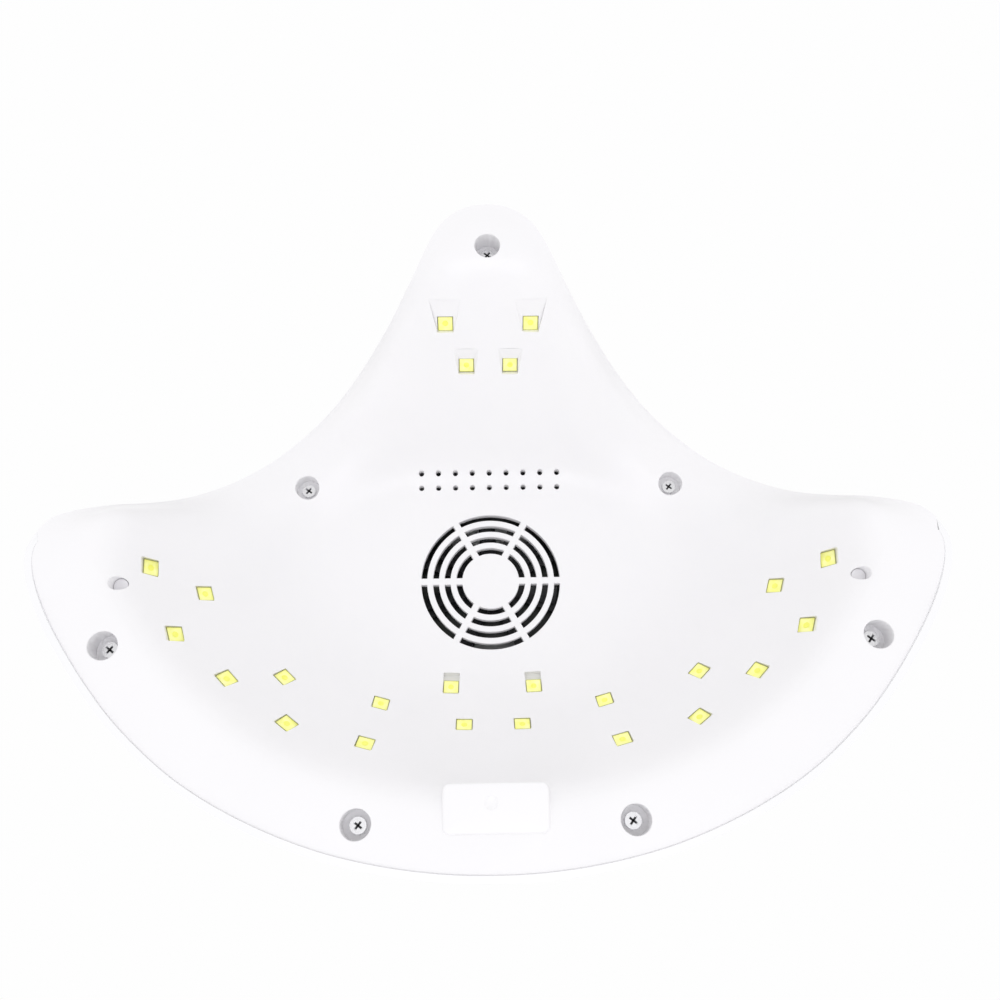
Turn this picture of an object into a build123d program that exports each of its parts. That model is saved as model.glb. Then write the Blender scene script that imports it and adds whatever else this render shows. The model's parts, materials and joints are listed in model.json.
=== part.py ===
"""Two-hand LED nail lamp, in millimetres.

+Z is up and the lamp stands on z = 0 as it is used. The narrow front leg (the
nose) points towards the user along -Y, the hands go in under the two arches
left and right of it, and the long rear arc faces +Y. The origin is the middle
of the footprint.
"""
from build123d import *
import math
import os

os.makedirs("parts", exist_ok=True)

# ---------------------------------------------------------------- dimensions
HEIGHT = 97.2            # table to the top of the dome
SHELL_T = 2.3            # wall of the outer shell
LINER_T = 2.8            # wall of the inner liner, measured along Z
CEILING_Z = 71.0         # underside of the liner around the fan
FOOT_SLOPE = 50.0        # slope of the nose wall, degrees
FOOT_Y = -96.5           # where the nose wall starts
FLANGE_W = 24.0          # width of the low rim along the rear arc
WALL_RUN = 62.0          # plan width of the rear wall
LIP_W = (12.0, 24.0)     # plan width of the rolled lip on the legs and at the arch tops
LIP_RISE = 5.0           # how far the lip rolls up to its edge
LIP_EDGE = 0.8           # thickness of the lip at its edge
FAN_Y = 9.3              # centre of the fan grille
FAN_SIZE = 60.0
GRILLE_RINGS = [(11.6, 14.0), (16.4, 18.8), (21.1, 23.5), (25.9, 28.25)]
SPOKE_W = 2.7
VENT_D, VENT_PITCH, VENT_YS = 2.2, 7.1, (-36.9, -31.1)
LED_SIZE, LED_H = 5.8, 1.6
WINDOW = 6.2             # square LED window in the liner
BOARD_T = 1.2
RECESS_D = 9.7           # screw recess
RECESS_DEPTH = 8.8
SCREW_HEAD_D, SCREW_HEAD_H = 5.4, 1.7
SCREW_D = 2.6
BUTTON_D, BUTTON_TRAVEL = 12.0, 0.8
JACK_BORE_D = 6.3        # barrel-plug inlet

# ------------------------------------------------------------ plan outline
# Right half of the lower edge, from the nose tip over the arch to the wing
# corner: x, y and the height of the arch edge there.
FRONT = [
    (0.0, -123.2, 4.0), (6.0, -122.4, 4.0), (11.5, -120.0, 4.0), (16.2, -116.2, 4.0),
    (20.0, -111.2, 4.6), (23.2, -105.6, 6.4), (26.2, -100.2, 9.4), (29.6, -95.2, 14.8),
    (33.8, -90.4, 22.4), (39.5, -84.6, 33.1), (46.5, -78.9, 44.3), (53.5, -73.4, 53.2),
    (60.0, -67.8, 59.5), (66.5, -61.9, 63.6), (73.0, -56.4, 66.3), (79.5, -51.3, 68.0),
    (85.5, -46.8, 68.9), (91.5, -42.4, 69.0), (97.5, -38.1, 68.0), (103.0, -34.0, 66.0),
    (108.0, -30.1, 63.0), (113.0, -26.0, 58.8), (117.5, -22.1, 54.0), (122.0, -18.2, 48.0),
    (126.0, -14.8, 42.0), (129.5, -11.9, 36.2), (133.0, -9.2, 30.0), (136.5, -6.7, 23.8),
    (140.0, -4.4, 17.8), (143.5, -2.2, 12.3), (147.0, 0.2, 7.7), (150.5, 3.1, 4.0),
    (154.0, 8.2, 1.2),
]
# Right half of the rear arc at the table.
REAR = [
    (156.7, 15.0), (156.4, 22.0), (153.7, 30.5), (148.7, 40.5), (142.0, 51.0),
    (134.0, 62.0), (124.6, 73.2), (114.6, 82.9), (104.4, 91.3), (95.0, 97.6),
    (86.0, 102.7), (77.0, 107.1), (67.0, 111.3), (55.5, 115.3), (44.5, 118.2),
    (34.0, 120.3), (24.0, 121.8), (12.0, 122.9), (0.0, 123.2),
]

# Levels of the dome: height, share of the x size, share of the y size about CY.
CY = 10.0
LEVELS = [
    (0.0, 1.000, 1.000), (10.0, 0.997, 0.996), (25.0, 0.988, 0.985), (40.0, 0.974, 0.966),
    (52.0, 0.955, 0.944), (62.0, 0.932, 0.916), (72.0, 0.895, 0.872), (81.0, 0.840, 0.812),
    (88.0, 0.765, 0.735), (93.5, 0.665, 0.632), (96.8, 0.550, 0.515), (HEIGHT, 0.430, 0.400),
]


def level_at(z):
    for (z0, fx0, fy0), (z1, fx1, fy1) in zip(LEVELS, LEVELS[1:]):
        if z <= z1:
            t = (z - z0) / (z1 - z0)
            return fx0 + t * (fx1 - fx0), fy0 + t * (fy1 - fy0)
    return LEVELS[-1][1:]


def base_outline():
    half = []
    for x, y, z in FRONT:
        fx, fy = level_at(z)
        half.append((x / fx, CY + (y - CY) / fy))
    half += REAR
    return half + [(-x, y) for x, y in half[-2:0:-1]]


OUTLINE = base_outline()


def smooth_loop(points):
    """A light smoothing of a closed point loop, which keeps its symmetry."""
    n = len(points)
    return [tuple(0.2 * points[i - 1][k] + 0.6 * points[i][k] + 0.2 * points[(i + 1) % n][k]
                  for k in (0, 1)) for i in range(n)]


def inset_loop(points, d):
    """Move each point of a counterclockwise loop inwards along its normal."""
    n, out = len(points), []
    for i in range(n):
        (x0, y0), (x1, y1) = points[i - 1], points[(i + 1) % n]
        tx, ty = x1 - x0, y1 - y0
        s = math.hypot(tx, ty)
        out.append((points[i][0] - ty / s * d, points[i][1] + tx / s * d))
    return out


def level_loop(z_level, fx, fy, inset=0.0):
    loop = [(x * fx, CY + (y - CY) * fy) for x, y in OUTLINE[::2]]
    return inset_loop(loop, inset) if inset else loop


# --------------------------------------------------- liner underside heights
SEAM = 2.45              # shell wall and seam gap at the rear arc
SEAM_LINE = [p for p in inset_loop(OUTLINE, SEAM)]
_rear_half = inset_loop(OUTLINE, SEAM)[len(FRONT) - 1: len(FRONT) + len(REAR) * 2 - 1]


def densify(points, n=4):
    out = []
    for (x0, y0), (x1, y1) in zip(points, points[1:]):
        out += [(x0 + (x1 - x0) * k / n, y0 + (y1 - y0) * k / n) for k in range(n)]
    return out + [points[-1]]


REAR_LINE = densify(_rear_half, 3)
_front_half = []
for (x0, y0, z0), (x1, y1, z1) in zip(FRONT, FRONT[1:]):
    for k in range(3):
        t = k / 3
        _front_half.append((x0 + t * (x1 - x0), y0 + t * (y1 - y0), z0 + t * (z1 - z0)))
_front_half.append(FRONT[-1])
FRONT_LINE = [(-x, y, z) for x, y, z in _front_half[:0:-1]] + _front_half


def wall_profile(d):
    """Height at the distance d from the rear seam: rim, wall, ceiling."""
    if d <= FLANGE_W:
        return 0.8 + 2.2 * (max(d, 0.0) / FLANGE_W) ** 1.5
    u = min((d - FLANGE_W) / WALL_RUN, 1.0)
    return 3.0 + (CEILING_Z - 3.0) * math.sin(math.pi / 2 * u) ** 0.85


def nose_profile(y):
    """Height along the nose: foot, straight slope, ceiling."""
    k = 2.2
    a = (y - FOOT_Y) * math.tan(math.radians(FOOT_SLOPE))
    lo = k * math.log1p(math.exp(min(a / k, 60.0))) if a < 60 * k else a
    b = (CEILING_Z - lo) / 4.0
    return CEILING_Z - 4.0 * (math.log1p(math.exp(b)) if b < 40 else b) + 4.0 * math.log1p(
        math.exp((CEILING_Z - 400.0) / 4.0))


def nearest(line, x, y):
    best, hit = 1e9, None
    for p in line:
        d = (p[0] - x) ** 2 + (p[1] - y) ** 2
        if d < best:
            best, hit = d, p
    return math.sqrt(best), hit


def smoothstep(a, b, x):
    t = min(max((x - a) / (b - a), 0.0), 1.0)
    return t * t * (3 - 2 * t)


def liner_z(x, y):
    """Height of the liner's underside at a plan position."""
    x = abs(x)
    d_rear, _ = nearest(REAR_LINE, x, y)
    rear = wall_profile(d_rear)
    nose = nose_profile(y)
    inner = CEILING_Z - math.hypot(CEILING_Z - rear, CEILING_Z - nose)
    d, hit = nearest(FRONT_LINE, x, y)
    edge = hit[2]
    lip_w = LIP_W[0] + (LIP_W[1] - LIP_W[0]) * smoothstep(35.0, 62.0, edge)
    low = min(inner, max(edge - LIP_RISE, 0.0))
    t = smoothstep(0.6 * lip_w, lip_w + 16.0, d)
    z = low + (inner - low) * t
    if d < lip_w:
        z += (edge - LIP_EDGE - z) * (1 - d / lip_w) ** 2
    return max(z, 0.0)



# ------------------------------------------------------------ placed features
# Right-hand LED windows: plan x, y, tilt of the LED from the horizontal, the
# direction in plan in which its face plane climbs, and its turn in that plane,
# all in degrees.
LEDS = {
    "A": (16.6, -79.1, 53.0, 90.0, 0.0), "B": (8.7, -68.5, 53.0, 90.0, 0.0),
    "C": (121.5, 16.0, 47.0, -168.0, 10.0), "D": (106.8, 20.9, 42.0, -150.0, 14.0),
    "E": (109.7, 40.9, 46.0, -150.0, 14.0), "F": (92.2, 55.6, 44.0, -132.0, 6.0),
    "G": (76.2, 52.0, 40.0, -125.0, 12.0), "H": (70.6, 71.2, 45.0, -121.0, 10.0),
    "I": (41.8, 60.6, 40.0, -114.0, -12.0), "J": (44.6, 77.5, 44.0, -107.0, -3.0),
    "K": (16.0, 53.0, 26.0, -92.0, 0.0), "L": (10.7, 69.3, 42.0, -91.0, 0.0),
}
LED_BACK = 2.0           # from an LED's plane to its face
LEAN = 0.6 / 390         # how far the openings lean to the rear of the middle


def led_planes():
    """Plane of each LED, z pointing behind the liner, with the distance from it
    to the LED's face, the start of the collar round the LED and the direction in
    which its opening is cut."""
    out = {}
    for key, (x, y, tilt, az, turn) in LEDS.items():
        a, c, t = math.radians(tilt), math.radians(az), math.radians(turn)
        ux, uy = math.cos(c), math.sin(c)
        ex = (-uy, ux, 0.0)
        ez = (-ux * math.sin(a), -uy * math.sin(a), math.cos(a))
        ey = (-ux * math.cos(a), -uy * math.cos(a), -math.sin(a))
        fx = [ex[k] * math.cos(t) - ey[k] * math.sin(t) for k in range(3)]
        fy = [ex[k] * math.sin(t) + ey[k] * math.cos(t) for k in range(3)]
        z, start = liner_z(x, y), 1.6
        if key not in "AB":
            far = 6.5 if key == "K" else 3.1

            def behind(i, j, h=0.0):
                q = [i * fx[k] + j * fy[k] + h * ez[k] for k in range(3)]
                return z + q[2] - liner_z(x + q[0], y + q[1])

            rise = 0.4 - min(behind(3.1 * i / 2, j) for i in range(-2, 3)
                             for j in (-far, -far / 2, 0, 1.55, 3.1))
            far = 11.1 if key == "K" else 4.7
            h = 0.0
            while h < 1.2 and min(rise + behind(4.7 * i, j, h) for i in (-1, 0, 1)
                                  for j in (-far, -far / 2, 0, 4.7)) < 0.3:
                h += 0.05
            z += rise
            start = LED_BACK + h
        for side, sx in (("r", 1), ("l", -1)):
            n = (sx * ez[0], ez[1], ez[2])
            place = (sx * x, y, z) if key in "AB" else (
                sx * x - LED_BACK * n[0], y - LED_BACK * n[1], z - LED_BACK * n[2])
            out[key + side] = (Plane(origin=place, x_dir=(fx[0], sx * fx[1], sx * fx[2]), z_dir=n),
                               LED_BACK, start, (-sx * x * LEAN, (116.0 - y) * LEAN, -1.0))
    return out


LED_PLANES = led_planes()

# Screw recesses: plan position, recess depth.
SCREWS = [(0.0, -103.0, 8.8), (127.9, 48.1, 8.8), (-127.9, 48.1, 8.8), (43.6, 105.3, 8.8),
          (-43.6, 105.3, 8.8), (75.4, -30.1, 6.2), (-75.4, -30.1, 6.2)]
SCREW_FLOORS = [(x, y, liner_z(x, y) + d) for x, y, d in SCREWS]
CUP_WALL = 1.8


def cup_top(zf):
    """Top of a screw cup, which clears the back of the ceiling."""
    return max(zf + CUP_WALL, 74.4) if zf > 60 else zf + CUP_WALL



# ------------------------------------------------------- dome and arch solids


def dome(inset, drop=0.0, low=0.0):
    """The dome's outer form, or the same moved inwards by a wall."""
    with BuildPart() as d:
        for z, fx, fy in LEVELS:
            zz = z if z < 60 else z - drop * (z - 60) / (HEIGHT - 60)
            with BuildSketch(Plane.XY.offset(zz if z > 0 else -low)):
                with BuildLine():
                    Spline(*level_loop(z, fx, fy, inset), periodic=True)
                make_face()
        loft()
    return d.part


def arch_prisms(lower=0.0, depth=(-30.0, 20.0), first=4):
    """The hand opening right of the nose, and its mirror image."""
    ax, ay = 20.0, -111.2
    bx, by = 150.5, 3.1
    n = math.hypot(bx - ax, by - ay)
    ex, ey = (bx - ax) / n, (by - ay) / n
    pts = [((x - ax) * ex + (y - ay) * ey, z - lower) for x, y, z in FRONT[first:-1]]
    plane = Plane(origin=(ax, ay, 0), x_dir=(ex, ey, 0), z_dir=(ey, -ex, 0))
    with BuildPart() as prism:
        with BuildSketch(plane.offset(-depth[0])):
            with BuildLine():
                Spline(*pts)
                Polyline(pts[-1], (pts[-1][0] + 0.6, -5), (pts[0][0], -5), pts[0])
            make_face()
        extrude(amount=-(depth[1] - depth[0]))
    return [prism.part, prism.part.mirror(Plane.YZ)]


outer_form = dome(0.0)
inner_form = dome(SHELL_T, drop=SHELL_T, low=2.0)
liner_form = dome(SHELL_T + 0.15, drop=SHELL_T)
arches = arch_prisms()

# The hand space: level lines of the liner's underside, taken along rays from a
# centre under the fan. Behind the arches the line keeps a fixed distance.
BOWL_C = (0.0, 5.0)
BOWL_LEVELS = [3.0, 9.0, 18.0, 29.0, 41.0, 52.0, 61.0, 67.5, 70.6]
BOWL_RAYS = 48
LIP_WIDTH = 9.0


def ray_table():
    table = []
    for i in range(BOWL_RAYS // 2 + 1):
        a = -math.pi / 2 + 2 * math.pi * i / BOWL_RAYS
        dx, dy = math.cos(a), math.sin(a)
        limit = 0.0
        r = 20.0
        while r < 190:
            x, y = BOWL_C[0] + r * dx, BOWL_C[1] + r * dy
            d, hit = nearest(FRONT_LINE, x, y)
            if d < LIP_WIDTH and hit[2] > 8:
                break
            if nearest(REAR_LINE, x, y)[0] < 3:
                break
            limit = r
            r += 1.0
        radii = []
        for level in BOWL_LEVELS:
            r = 20.0
            while r < limit and liner_base(BOWL_C[0] + r * dx, BOWL_C[1] + r * dy) > level:
                r += 0.5
            radii.append(min(r, limit))
        table.append(radii)
    return table


def liner_base(x, y):
    """Height of wall, nose and ceiling without the rolled lip."""
    x = abs(x)
    rear = wall_profile(nearest(REAR_LINE, x, y)[0])
    nose = nose_profile(y)
    return CEILING_Z - math.hypot(CEILING_Z - rear, CEILING_Z - nose)


RAYS = ray_table()


def bowl(grow=0.0, lift=0.0, low=-2.0):
    """The hand space as a solid, or the same grown by a wall thickness."""
    with BuildPart() as b:
        for k, level in [(0, low)] + list(enumerate(BOWL_LEVELS)) + [(len(BOWL_LEVELS) - 1, None)]:
            share = (level if level is not None else CEILING_Z) / CEILING_Z
            z = (CEILING_Z + lift) if level is None else level + lift * max(share, 0)
            if level == low:
                z = low
            pts = []
            for i in range(BOWL_RAYS):
                j = min(i, BOWL_RAYS - i)
                r = RAYS[j][k] + grow * (1 - 0.4 * max(share, 0)) - (1.5 if level is None else 0)
                a = -math.pi / 2 + 2 * math.pi * i / BOWL_RAYS
                pts.append((BOWL_C[0] + r * math.cos(a), BOWL_C[1] + r * math.sin(a)))
            with BuildSketch(Plane.XY.offset(z)):
                with BuildLine():
                    Spline(*pts, periodic=True)
                make_face()
        loft()
    return b.part


# ---------------------------------------------------------------- outer shell
PANEL_Y, PANEL_A, PANEL_B, PANEL_T = 9.0, 46.0, 25.0, 1.2
BUTTON_XS, BUTTON_Y = (-24.0, -8.0, 8.0, 24.0), -1.5
DISPLAY = (37.0, 16.0)
DISPLAY_Y = 18.5
BOARD_Z, BOARD_SIZE, BOARD_Y = 84.8, (84.0, 40.0), 10.0
BOARD_POSTS = [(-37.0, -4.5), (37.0, -4.5), (-37.0, 24.5), (37.0, 24.5)]
JACK_Z = 14.0
TOP_IN = HEIGHT - SHELL_T

with BuildPart() as shell_posts:
    for (x, y, zf) in SCREW_FLOORS:
        with BuildSketch(Plane.XY.offset(cup_top(zf))):
            with Locations((x, y)):
                Circle(3.7)
        extrude(amount=HEIGHT - cup_top(zf))
    for (x, y) in BOARD_POSTS:
        with BuildSketch(Plane.XY.offset(BOARD_Z + 1.6)):
            with Locations((x, y)):
                Circle(3.2)
        extrude(amount=HEIGHT - BOARD_Z - 1.6)
    add(dome(1.0), mode=Mode.INTERSECT)

with BuildPart() as shell_cuts:
    # overlay recess, button and display openings
    with BuildSketch(Plane.XY.offset(HEIGHT + 0.5)):
        with Locations((0, PANEL_Y)):
            Ellipse(PANEL_A + 0.15, PANEL_B + 0.15)
    extrude(amount=-PANEL_T - 0.5)
    with BuildSketch(Plane.XY.offset(HEIGHT)):
        with Locations(*[(x, BUTTON_Y) for x in BUTTON_XS]):
            Circle(BUTTON_D / 2 + 0.3)
        with Locations((0, DISPLAY_Y)):
            Rectangle(DISPLAY[0] - 5, DISPLAY[1] - 4)
    extrude(amount=-4)
    # exhaust slots behind the top
    with BuildSketch(Plane.XY.offset(HEIGHT + 1)):
        for i in range(-5, 6):
            with Locations((i * 7.5, 72.0 - 0.35 * abs(i) ** 1.6)):
                SlotOverall(22.0 - 0.8 * abs(i), 2.6, rotation=90)
    extrude(amount=-28)
    # pilot holes for the liner screws and the control board screws
    for (x, y, zf) in SCREW_FLOORS:
        with BuildSketch(Plane.XY.offset(zf)):
            with Locations((x, y)):
                Circle(SCREW_D / 2)
        extrude(amount=12)
    with BuildSketch(Plane.XY.offset(BOARD_Z)):
        with Locations(*BOARD_POSTS):
            Circle(1.1)
    extrude(amount=8)
    # inlet: a flat seat and the hole for the jack's bushing
    with BuildSketch(Plane.XZ.offset(-121.9)):
        with Locations((0, JACK_Z)):
            RectangleRounded(13, 13, 2)
    extrude(amount=-6)
    with BuildSketch(Plane.XZ.offset(-115)):
        with Locations((0, JACK_Z)):
            Circle(4.1)
    extrude(amount=-12)
    # the edge of the nose is raised by its rolled lip
    with BuildSketch(Plane.XY.offset(-5)):
        with Locations((0, -128)):
            Rectangle(42, 34)
    extrude(amount=9)

with BuildPart() as outer_shell:
    add(outer_form)
    add(inner_form, mode=Mode.SUBTRACT)
    add(arches, mode=Mode.SUBTRACT)
    add(shell_posts.part)
    add(shell_cuts.part, mode=Mode.SUBTRACT)
outer_shell.part.label = "outer_shell"
export_step(outer_shell.part, "parts/outer_shell.step")

# ---------------------------------------------------------------- inner liner
CUP_D = RECESS_D + 2 * CUP_WALL
IR = [(126.6, 26.1), (-126.6, 26.1)]
IR_TOP = 11.0
FAN_Z, FAN_H = 74.2, 8.0             # underside and height of the fan frame
FAN_HOLES = [(i * 25.0, FAN_Y + j * 25.0) for i in (-1, 1) for j in (-1, 1)]
DRIVER_XY, DRIVER_SIZE, DRIVER_Z = (-52.0, 8.0), (26.0, 50.0), 77.0
DRIVER_POSTS = [(-61.0, -12.0), (-43.0, -12.0), (-61.0, 28.0), (-43.0, 28.0)]
BLOCK = (33.6, 15.6)
BLOCK_Y, BLOCK_Z = 101.2, 1.0
RIM_Z = 0.8
TILE = 9.0

hand_space = bowl()
hand_space_back = bowl(grow=3.2, lift=LINER_T, low=RIM_Z)

# What stands behind the liner: screw cups, posts, window collars, jack cradle.
backs = []
with BuildPart() as cups:
    for (x, y, zf) in SCREW_FLOORS:
        with BuildSketch(Plane.XY.offset(liner_z(x, y) + 0.8)):
            with Locations((x, y)):
                Circle(CUP_D / 2)
        backs.append(extrude(amount=cup_top(zf) - liner_z(x, y) - 0.8, mode=Mode.PRIVATE))
    for (x, y) in IR:
        with BuildSketch(Plane.XY.offset(3.2)):
            with Locations((x, y)):
                Circle(4.4)
        backs.append(extrude(amount=IR_TOP + 1.6 - 3.2, mode=Mode.PRIVATE))
    for points, r, top in ((FAN_HOLES, 3.4, FAN_Z), (DRIVER_POSTS, 3.0, DRIVER_Z)):
        for (x, y) in points:
            with BuildSketch(Plane.XY.offset(72.2)):
                with Locations((x, y)):
                    Circle(r)
            backs.append(extrude(amount=top - 72.2, mode=Mode.PRIVATE))
    for key, (plane, back, start, aim) in LED_PLANES.items():
        wide, deep = (9.4, 9.4) if key[0] not in "AB" else (15.0, 12.0)
        if key[0] == "K":
            deep = 15.8
        shift = {"A": 3.2, "B": 2.0, "K": -3.2}.get(key[0], 0.0)
        with BuildSketch(plane.offset(start)):
            with Locations((0, shift)):
                Rectangle(wide, deep)
        backs.append(extrude(amount=back + LED_H - start, mode=Mode.PRIVATE))
    with BuildSketch(Plane.XY.offset(3.0)):
        with Locations((0, 113.5)):
            Rectangle(9, 6)
    backs.append(extrude(amount=JACK_Z - 5.5 - 3.0, mode=Mode.PRIVATE))

# What is cut out of it: grille, vents, recesses, windows, pilot holes.
cuts = []
with BuildPart() as cutters:
    with BuildSketch(Plane.XY.offset(66)) as grille:
        with Locations((0, FAN_Y)):
            for r0, r1 in reversed(GRILLE_RINGS):
                Circle(r1)
                Circle(r0, mode=Mode.SUBTRACT)
            for a in (0, 60, 120):
                Rectangle(62, SPOKE_W, rotation=a, mode=Mode.SUBTRACT)
        with Locations(*[(VENT_PITCH * i, y) for i in range(-4, 5) for y in VENT_YS]):
            Circle(VENT_D / 2)
    cuts += extrude(amount=12, mode=Mode.PRIVATE).solids()
    for (x, y, zf) in SCREW_FLOORS:
        with BuildSketch(Plane.XY.offset(zf)):
            with Locations((x, y)):
                Circle(RECESS_D / 2 if zf < 20 else 4.25)
        cuts.append(extrude(amount=-14, mode=Mode.PRIVATE))
        with BuildSketch(Plane.XY.offset(zf - 0.5)):
            with Locations((x, y)):
                Circle(1.6)
        cuts.append(extrude(amount=6, mode=Mode.PRIVATE))
    for (x, y) in IR:
        with BuildSketch(Plane.XY.offset(-2)):
            with Locations((x, y)):
                Circle(2.6)
        cuts.append(extrude(amount=IR_TOP + 2, mode=Mode.PRIVATE))
    for key, (plane, back, start, aim) in LED_PLANES.items():
        first = 1.4 if key[0] in "AB" else back
        with BuildSketch(plane.offset(first)):
            with Locations((0, -1.7 if key[0] == "K" else 0)):
                Rectangle(WINDOW, WINDOW + (3.4 if key[0] == "K" else 0))
        cuts.append(extrude(amount=back + LED_H + 0.3 - first, mode=Mode.PRIVATE))
        if key[0] not in "AB":
            with BuildSketch(plane.offset(back)):
                with Locations((0, -1.7 if key[0] == "K" else 0)):
                    Rectangle(WINDOW, WINDOW + (3.4 if key[0] == "K" else 0))
            cuts.append(extrude(amount=10, dir=aim, mode=Mode.PRIVATE))
        with BuildSketch(plane.offset(back + LED_H)):
            with Locations((0, -3.4 if key[0] == "K" else 0)):
                Rectangle(TILE + 0.6, TILE + 0.6 + (6.8 if key[0] == "K" else 0))
        cuts.append(extrude(amount=6, mode=Mode.PRIVATE))
        if key[0] in "AB":
            w, e = (12.4, 9.2) if key[0] == "A" else (9.6, 7.4)
            with BuildSketch(plane.offset(1.5)):
                with BuildLine():
                    Polyline((-WINDOW / 2, -WINDOW / 2), (WINDOW / 2, -WINDOW / 2),
                             (w / 2, e), (-w / 2, e), close=True)
                make_face()
            cuts.append(extrude(amount=-7, mode=Mode.PRIVATE))
    for points, r in ((FAN_HOLES, 1.25), (DRIVER_POSTS, 1.0)):
        for (x, y) in points:
            with BuildSketch(Plane.XY.offset(72.6)):
                with Locations((x, y)):
                    Circle(r)
            cuts.append(extrude(amount=8, mode=Mode.PRIVATE))

with BuildPart() as block:
    with BuildSketch(Plane.XY.offset(BLOCK_Z)):
        with Locations((0, BLOCK_Y)):
            RectangleRounded(BLOCK[0], BLOCK[1], 2.0)
    extrude(amount=6)
    with BuildSketch(Plane.XY.offset(BLOCK_Z)):
        with Locations((6.0, BLOCK_Y - 1.5)):
            Circle(1.5)
    extrude(amount=0.8, mode=Mode.SUBTRACT)



def bowl_ring(grow):
    """The foot of the hand space's wall, moved outwards."""
    pts = []
    for i in range(BOWL_RAYS):
        a = -math.pi / 2 + 2 * math.pi * i / BOWL_RAYS
        r = RAYS[min(i, BOWL_RAYS - i)][0] + grow
        pts.append((BOWL_C[0] + r * math.cos(a), BOWL_C[1] + r * math.sin(a)))
    return pts


with BuildPart() as bowl_wall:
    add(hand_space_back)
    add(liner_form, mode=Mode.INTERSECT)
    add(hand_space, mode=Mode.SUBTRACT)

# rim along the rear arc, and the foot of the nose
with BuildPart() as plates:
    for z0, front_of in ((RIM_Z, None), (0.0, -97.0)):
        with BuildSketch(Plane.XY.offset(z0)):
            with BuildLine():
                Spline(*level_loop(0, 0.9985, 0.9985, SHELL_T + 0.2), periodic=True)
            make_face()
            if front_of is not None:
                with Locations((0, front_of - 25)):
                    Rectangle(80, 50, mode=Mode.INTERSECT)
            with BuildLine():
                Spline(*bowl_ring(1.6), periodic=True)
            make_face(mode=Mode.SUBTRACT)
        extrude(amount=RIM_Z + 2.6 - z0)

# lip along the two arches
lips = []
for band, gap in zip(arch_prisms(-2.6, (-30.0, 22.0), 5), arch_prisms(0.0, (-31.0, 23.0), 5)):
    with BuildPart() as lip:
        add(band)
        add(gap, mode=Mode.SUBTRACT)
        add(liner_form, mode=Mode.INTERSECT)
        add(hand_space, mode=Mode.SUBTRACT)
    lips.append(lip.part)

with BuildPart() as inner_liner:
    add(bowl_wall.part)
    add(plates.part)
    add(lips)
    add(arch_prisms(first=5), mode=Mode.SUBTRACT)
    add(backs + [block.part])
    add(cuts, mode=Mode.SUBTRACT)
inner_liner.part.label = "inner_liner"
export_step(inner_liner.part, "parts/inner_liner.step")

# ---------------------------------------------------------------- top side
with BuildPart() as top_panel:
    with BuildSketch(Plane.XY.offset(HEIGHT - PANEL_T)):
        with Locations((0, PANEL_Y)):
            Ellipse(PANEL_A, PANEL_B)
        with Locations(*[(x, BUTTON_Y) for x in BUTTON_XS]):
            Circle(BUTTON_D / 2 + 0.3, mode=Mode.SUBTRACT)
        with Locations((0, DISPLAY_Y)):
            Rectangle(DISPLAY[0] + 0.3, DISPLAY[1] + 0.3, mode=Mode.SUBTRACT)
    extrude(amount=PANEL_T)
top_panel.part.label = "top_panel"
export_step(top_panel.part, "parts/top_panel.step")

with BuildPart() as display_window:
    with BuildSketch(Plane.XY.offset(HEIGHT - PANEL_T)):
        with Locations((0, DISPLAY_Y)):
            Rectangle(*DISPLAY)
    extrude(amount=PANEL_T)
    chamfer(display_window.edges().group_by(Axis.Z)[-1], 0.3)
display_window.part.label = "display_window"
export_step(display_window.part, "parts/display_window.step")

BOARD_TOP = BOARD_Z + 1.6
with BuildPart() as display_module:
    with BuildSketch(Plane.XY.offset(BOARD_TOP)):
        with Locations((0, DISPLAY_Y)):
            Rectangle(30, 10.6)
    extrude(amount=8.0)
    with BuildSketch(Plane.XY.offset(BOARD_TOP + 8.0)):
        with Locations(*[(x, DISPLAY_Y) for x in (-9.6, 0, 9.6)]):
            Rectangle(5.4, 8.6)
            Rectangle(3.2, 2.6, mode=Mode.SUBTRACT)
    extrude(amount=-0.4, mode=Mode.SUBTRACT)
display_module.part.label = "display_module"
export_step(display_module.part, "parts/display_module.step")


def button(x):
    """A push button: cap through the panel, stop flange under it, stem."""
    with BuildPart() as b:
        with BuildSketch(Plane.XY.offset(HEIGHT - SHELL_T - 0.3)):
            with Locations((x, BUTTON_Y)):
                Circle(BUTTON_D / 2)
        extrude(amount=SHELL_T + 0.3 + BUTTON_TRAVEL)
        fillet(b.edges().group_by(Axis.Z)[-1], 0.6)
        with BuildSketch(Plane.XY.offset(HEIGHT - SHELL_T - 1.3)):
            with Locations((x, BUTTON_Y)):
                Circle(BUTTON_D / 2 + 0.8)
        extrude(amount=1.0)
        with BuildSketch(Plane.XY.offset(BOARD_TOP + 4.6)):
            with Locations((x, BUTTON_Y)):
                Circle(1.7)
        extrude(amount=HEIGHT - SHELL_T - 1.3 - BOARD_TOP - 4.6)
        with BuildSketch(Plane.XY.offset(HEIGHT + BUTTON_TRAVEL)):
            with Locations((x, BUTTON_Y)):
                Circle(3.6)
        extrude(amount=-0.25, mode=Mode.SUBTRACT)
    return b.part


with BuildPart() as button_10:
    add(button(BUTTON_XS[0]))
button_10.part.label = "button_10"
export_step(button_10.part, "parts/button_10.step")

with BuildPart() as button_30:
    add(button(BUTTON_XS[1]))
button_30.part.label = "button_30"
export_step(button_30.part, "parts/button_30.step")

with BuildPart() as button_60:
    add(button(BUTTON_XS[2]))
button_60.part.label = "button_60"
export_step(button_60.part, "parts/button_60.step")

with BuildPart() as button_99:
    add(button(BUTTON_XS[3]))
button_99.part.label = "button_99"
export_step(button_99.part, "parts/button_99.step")

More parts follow.
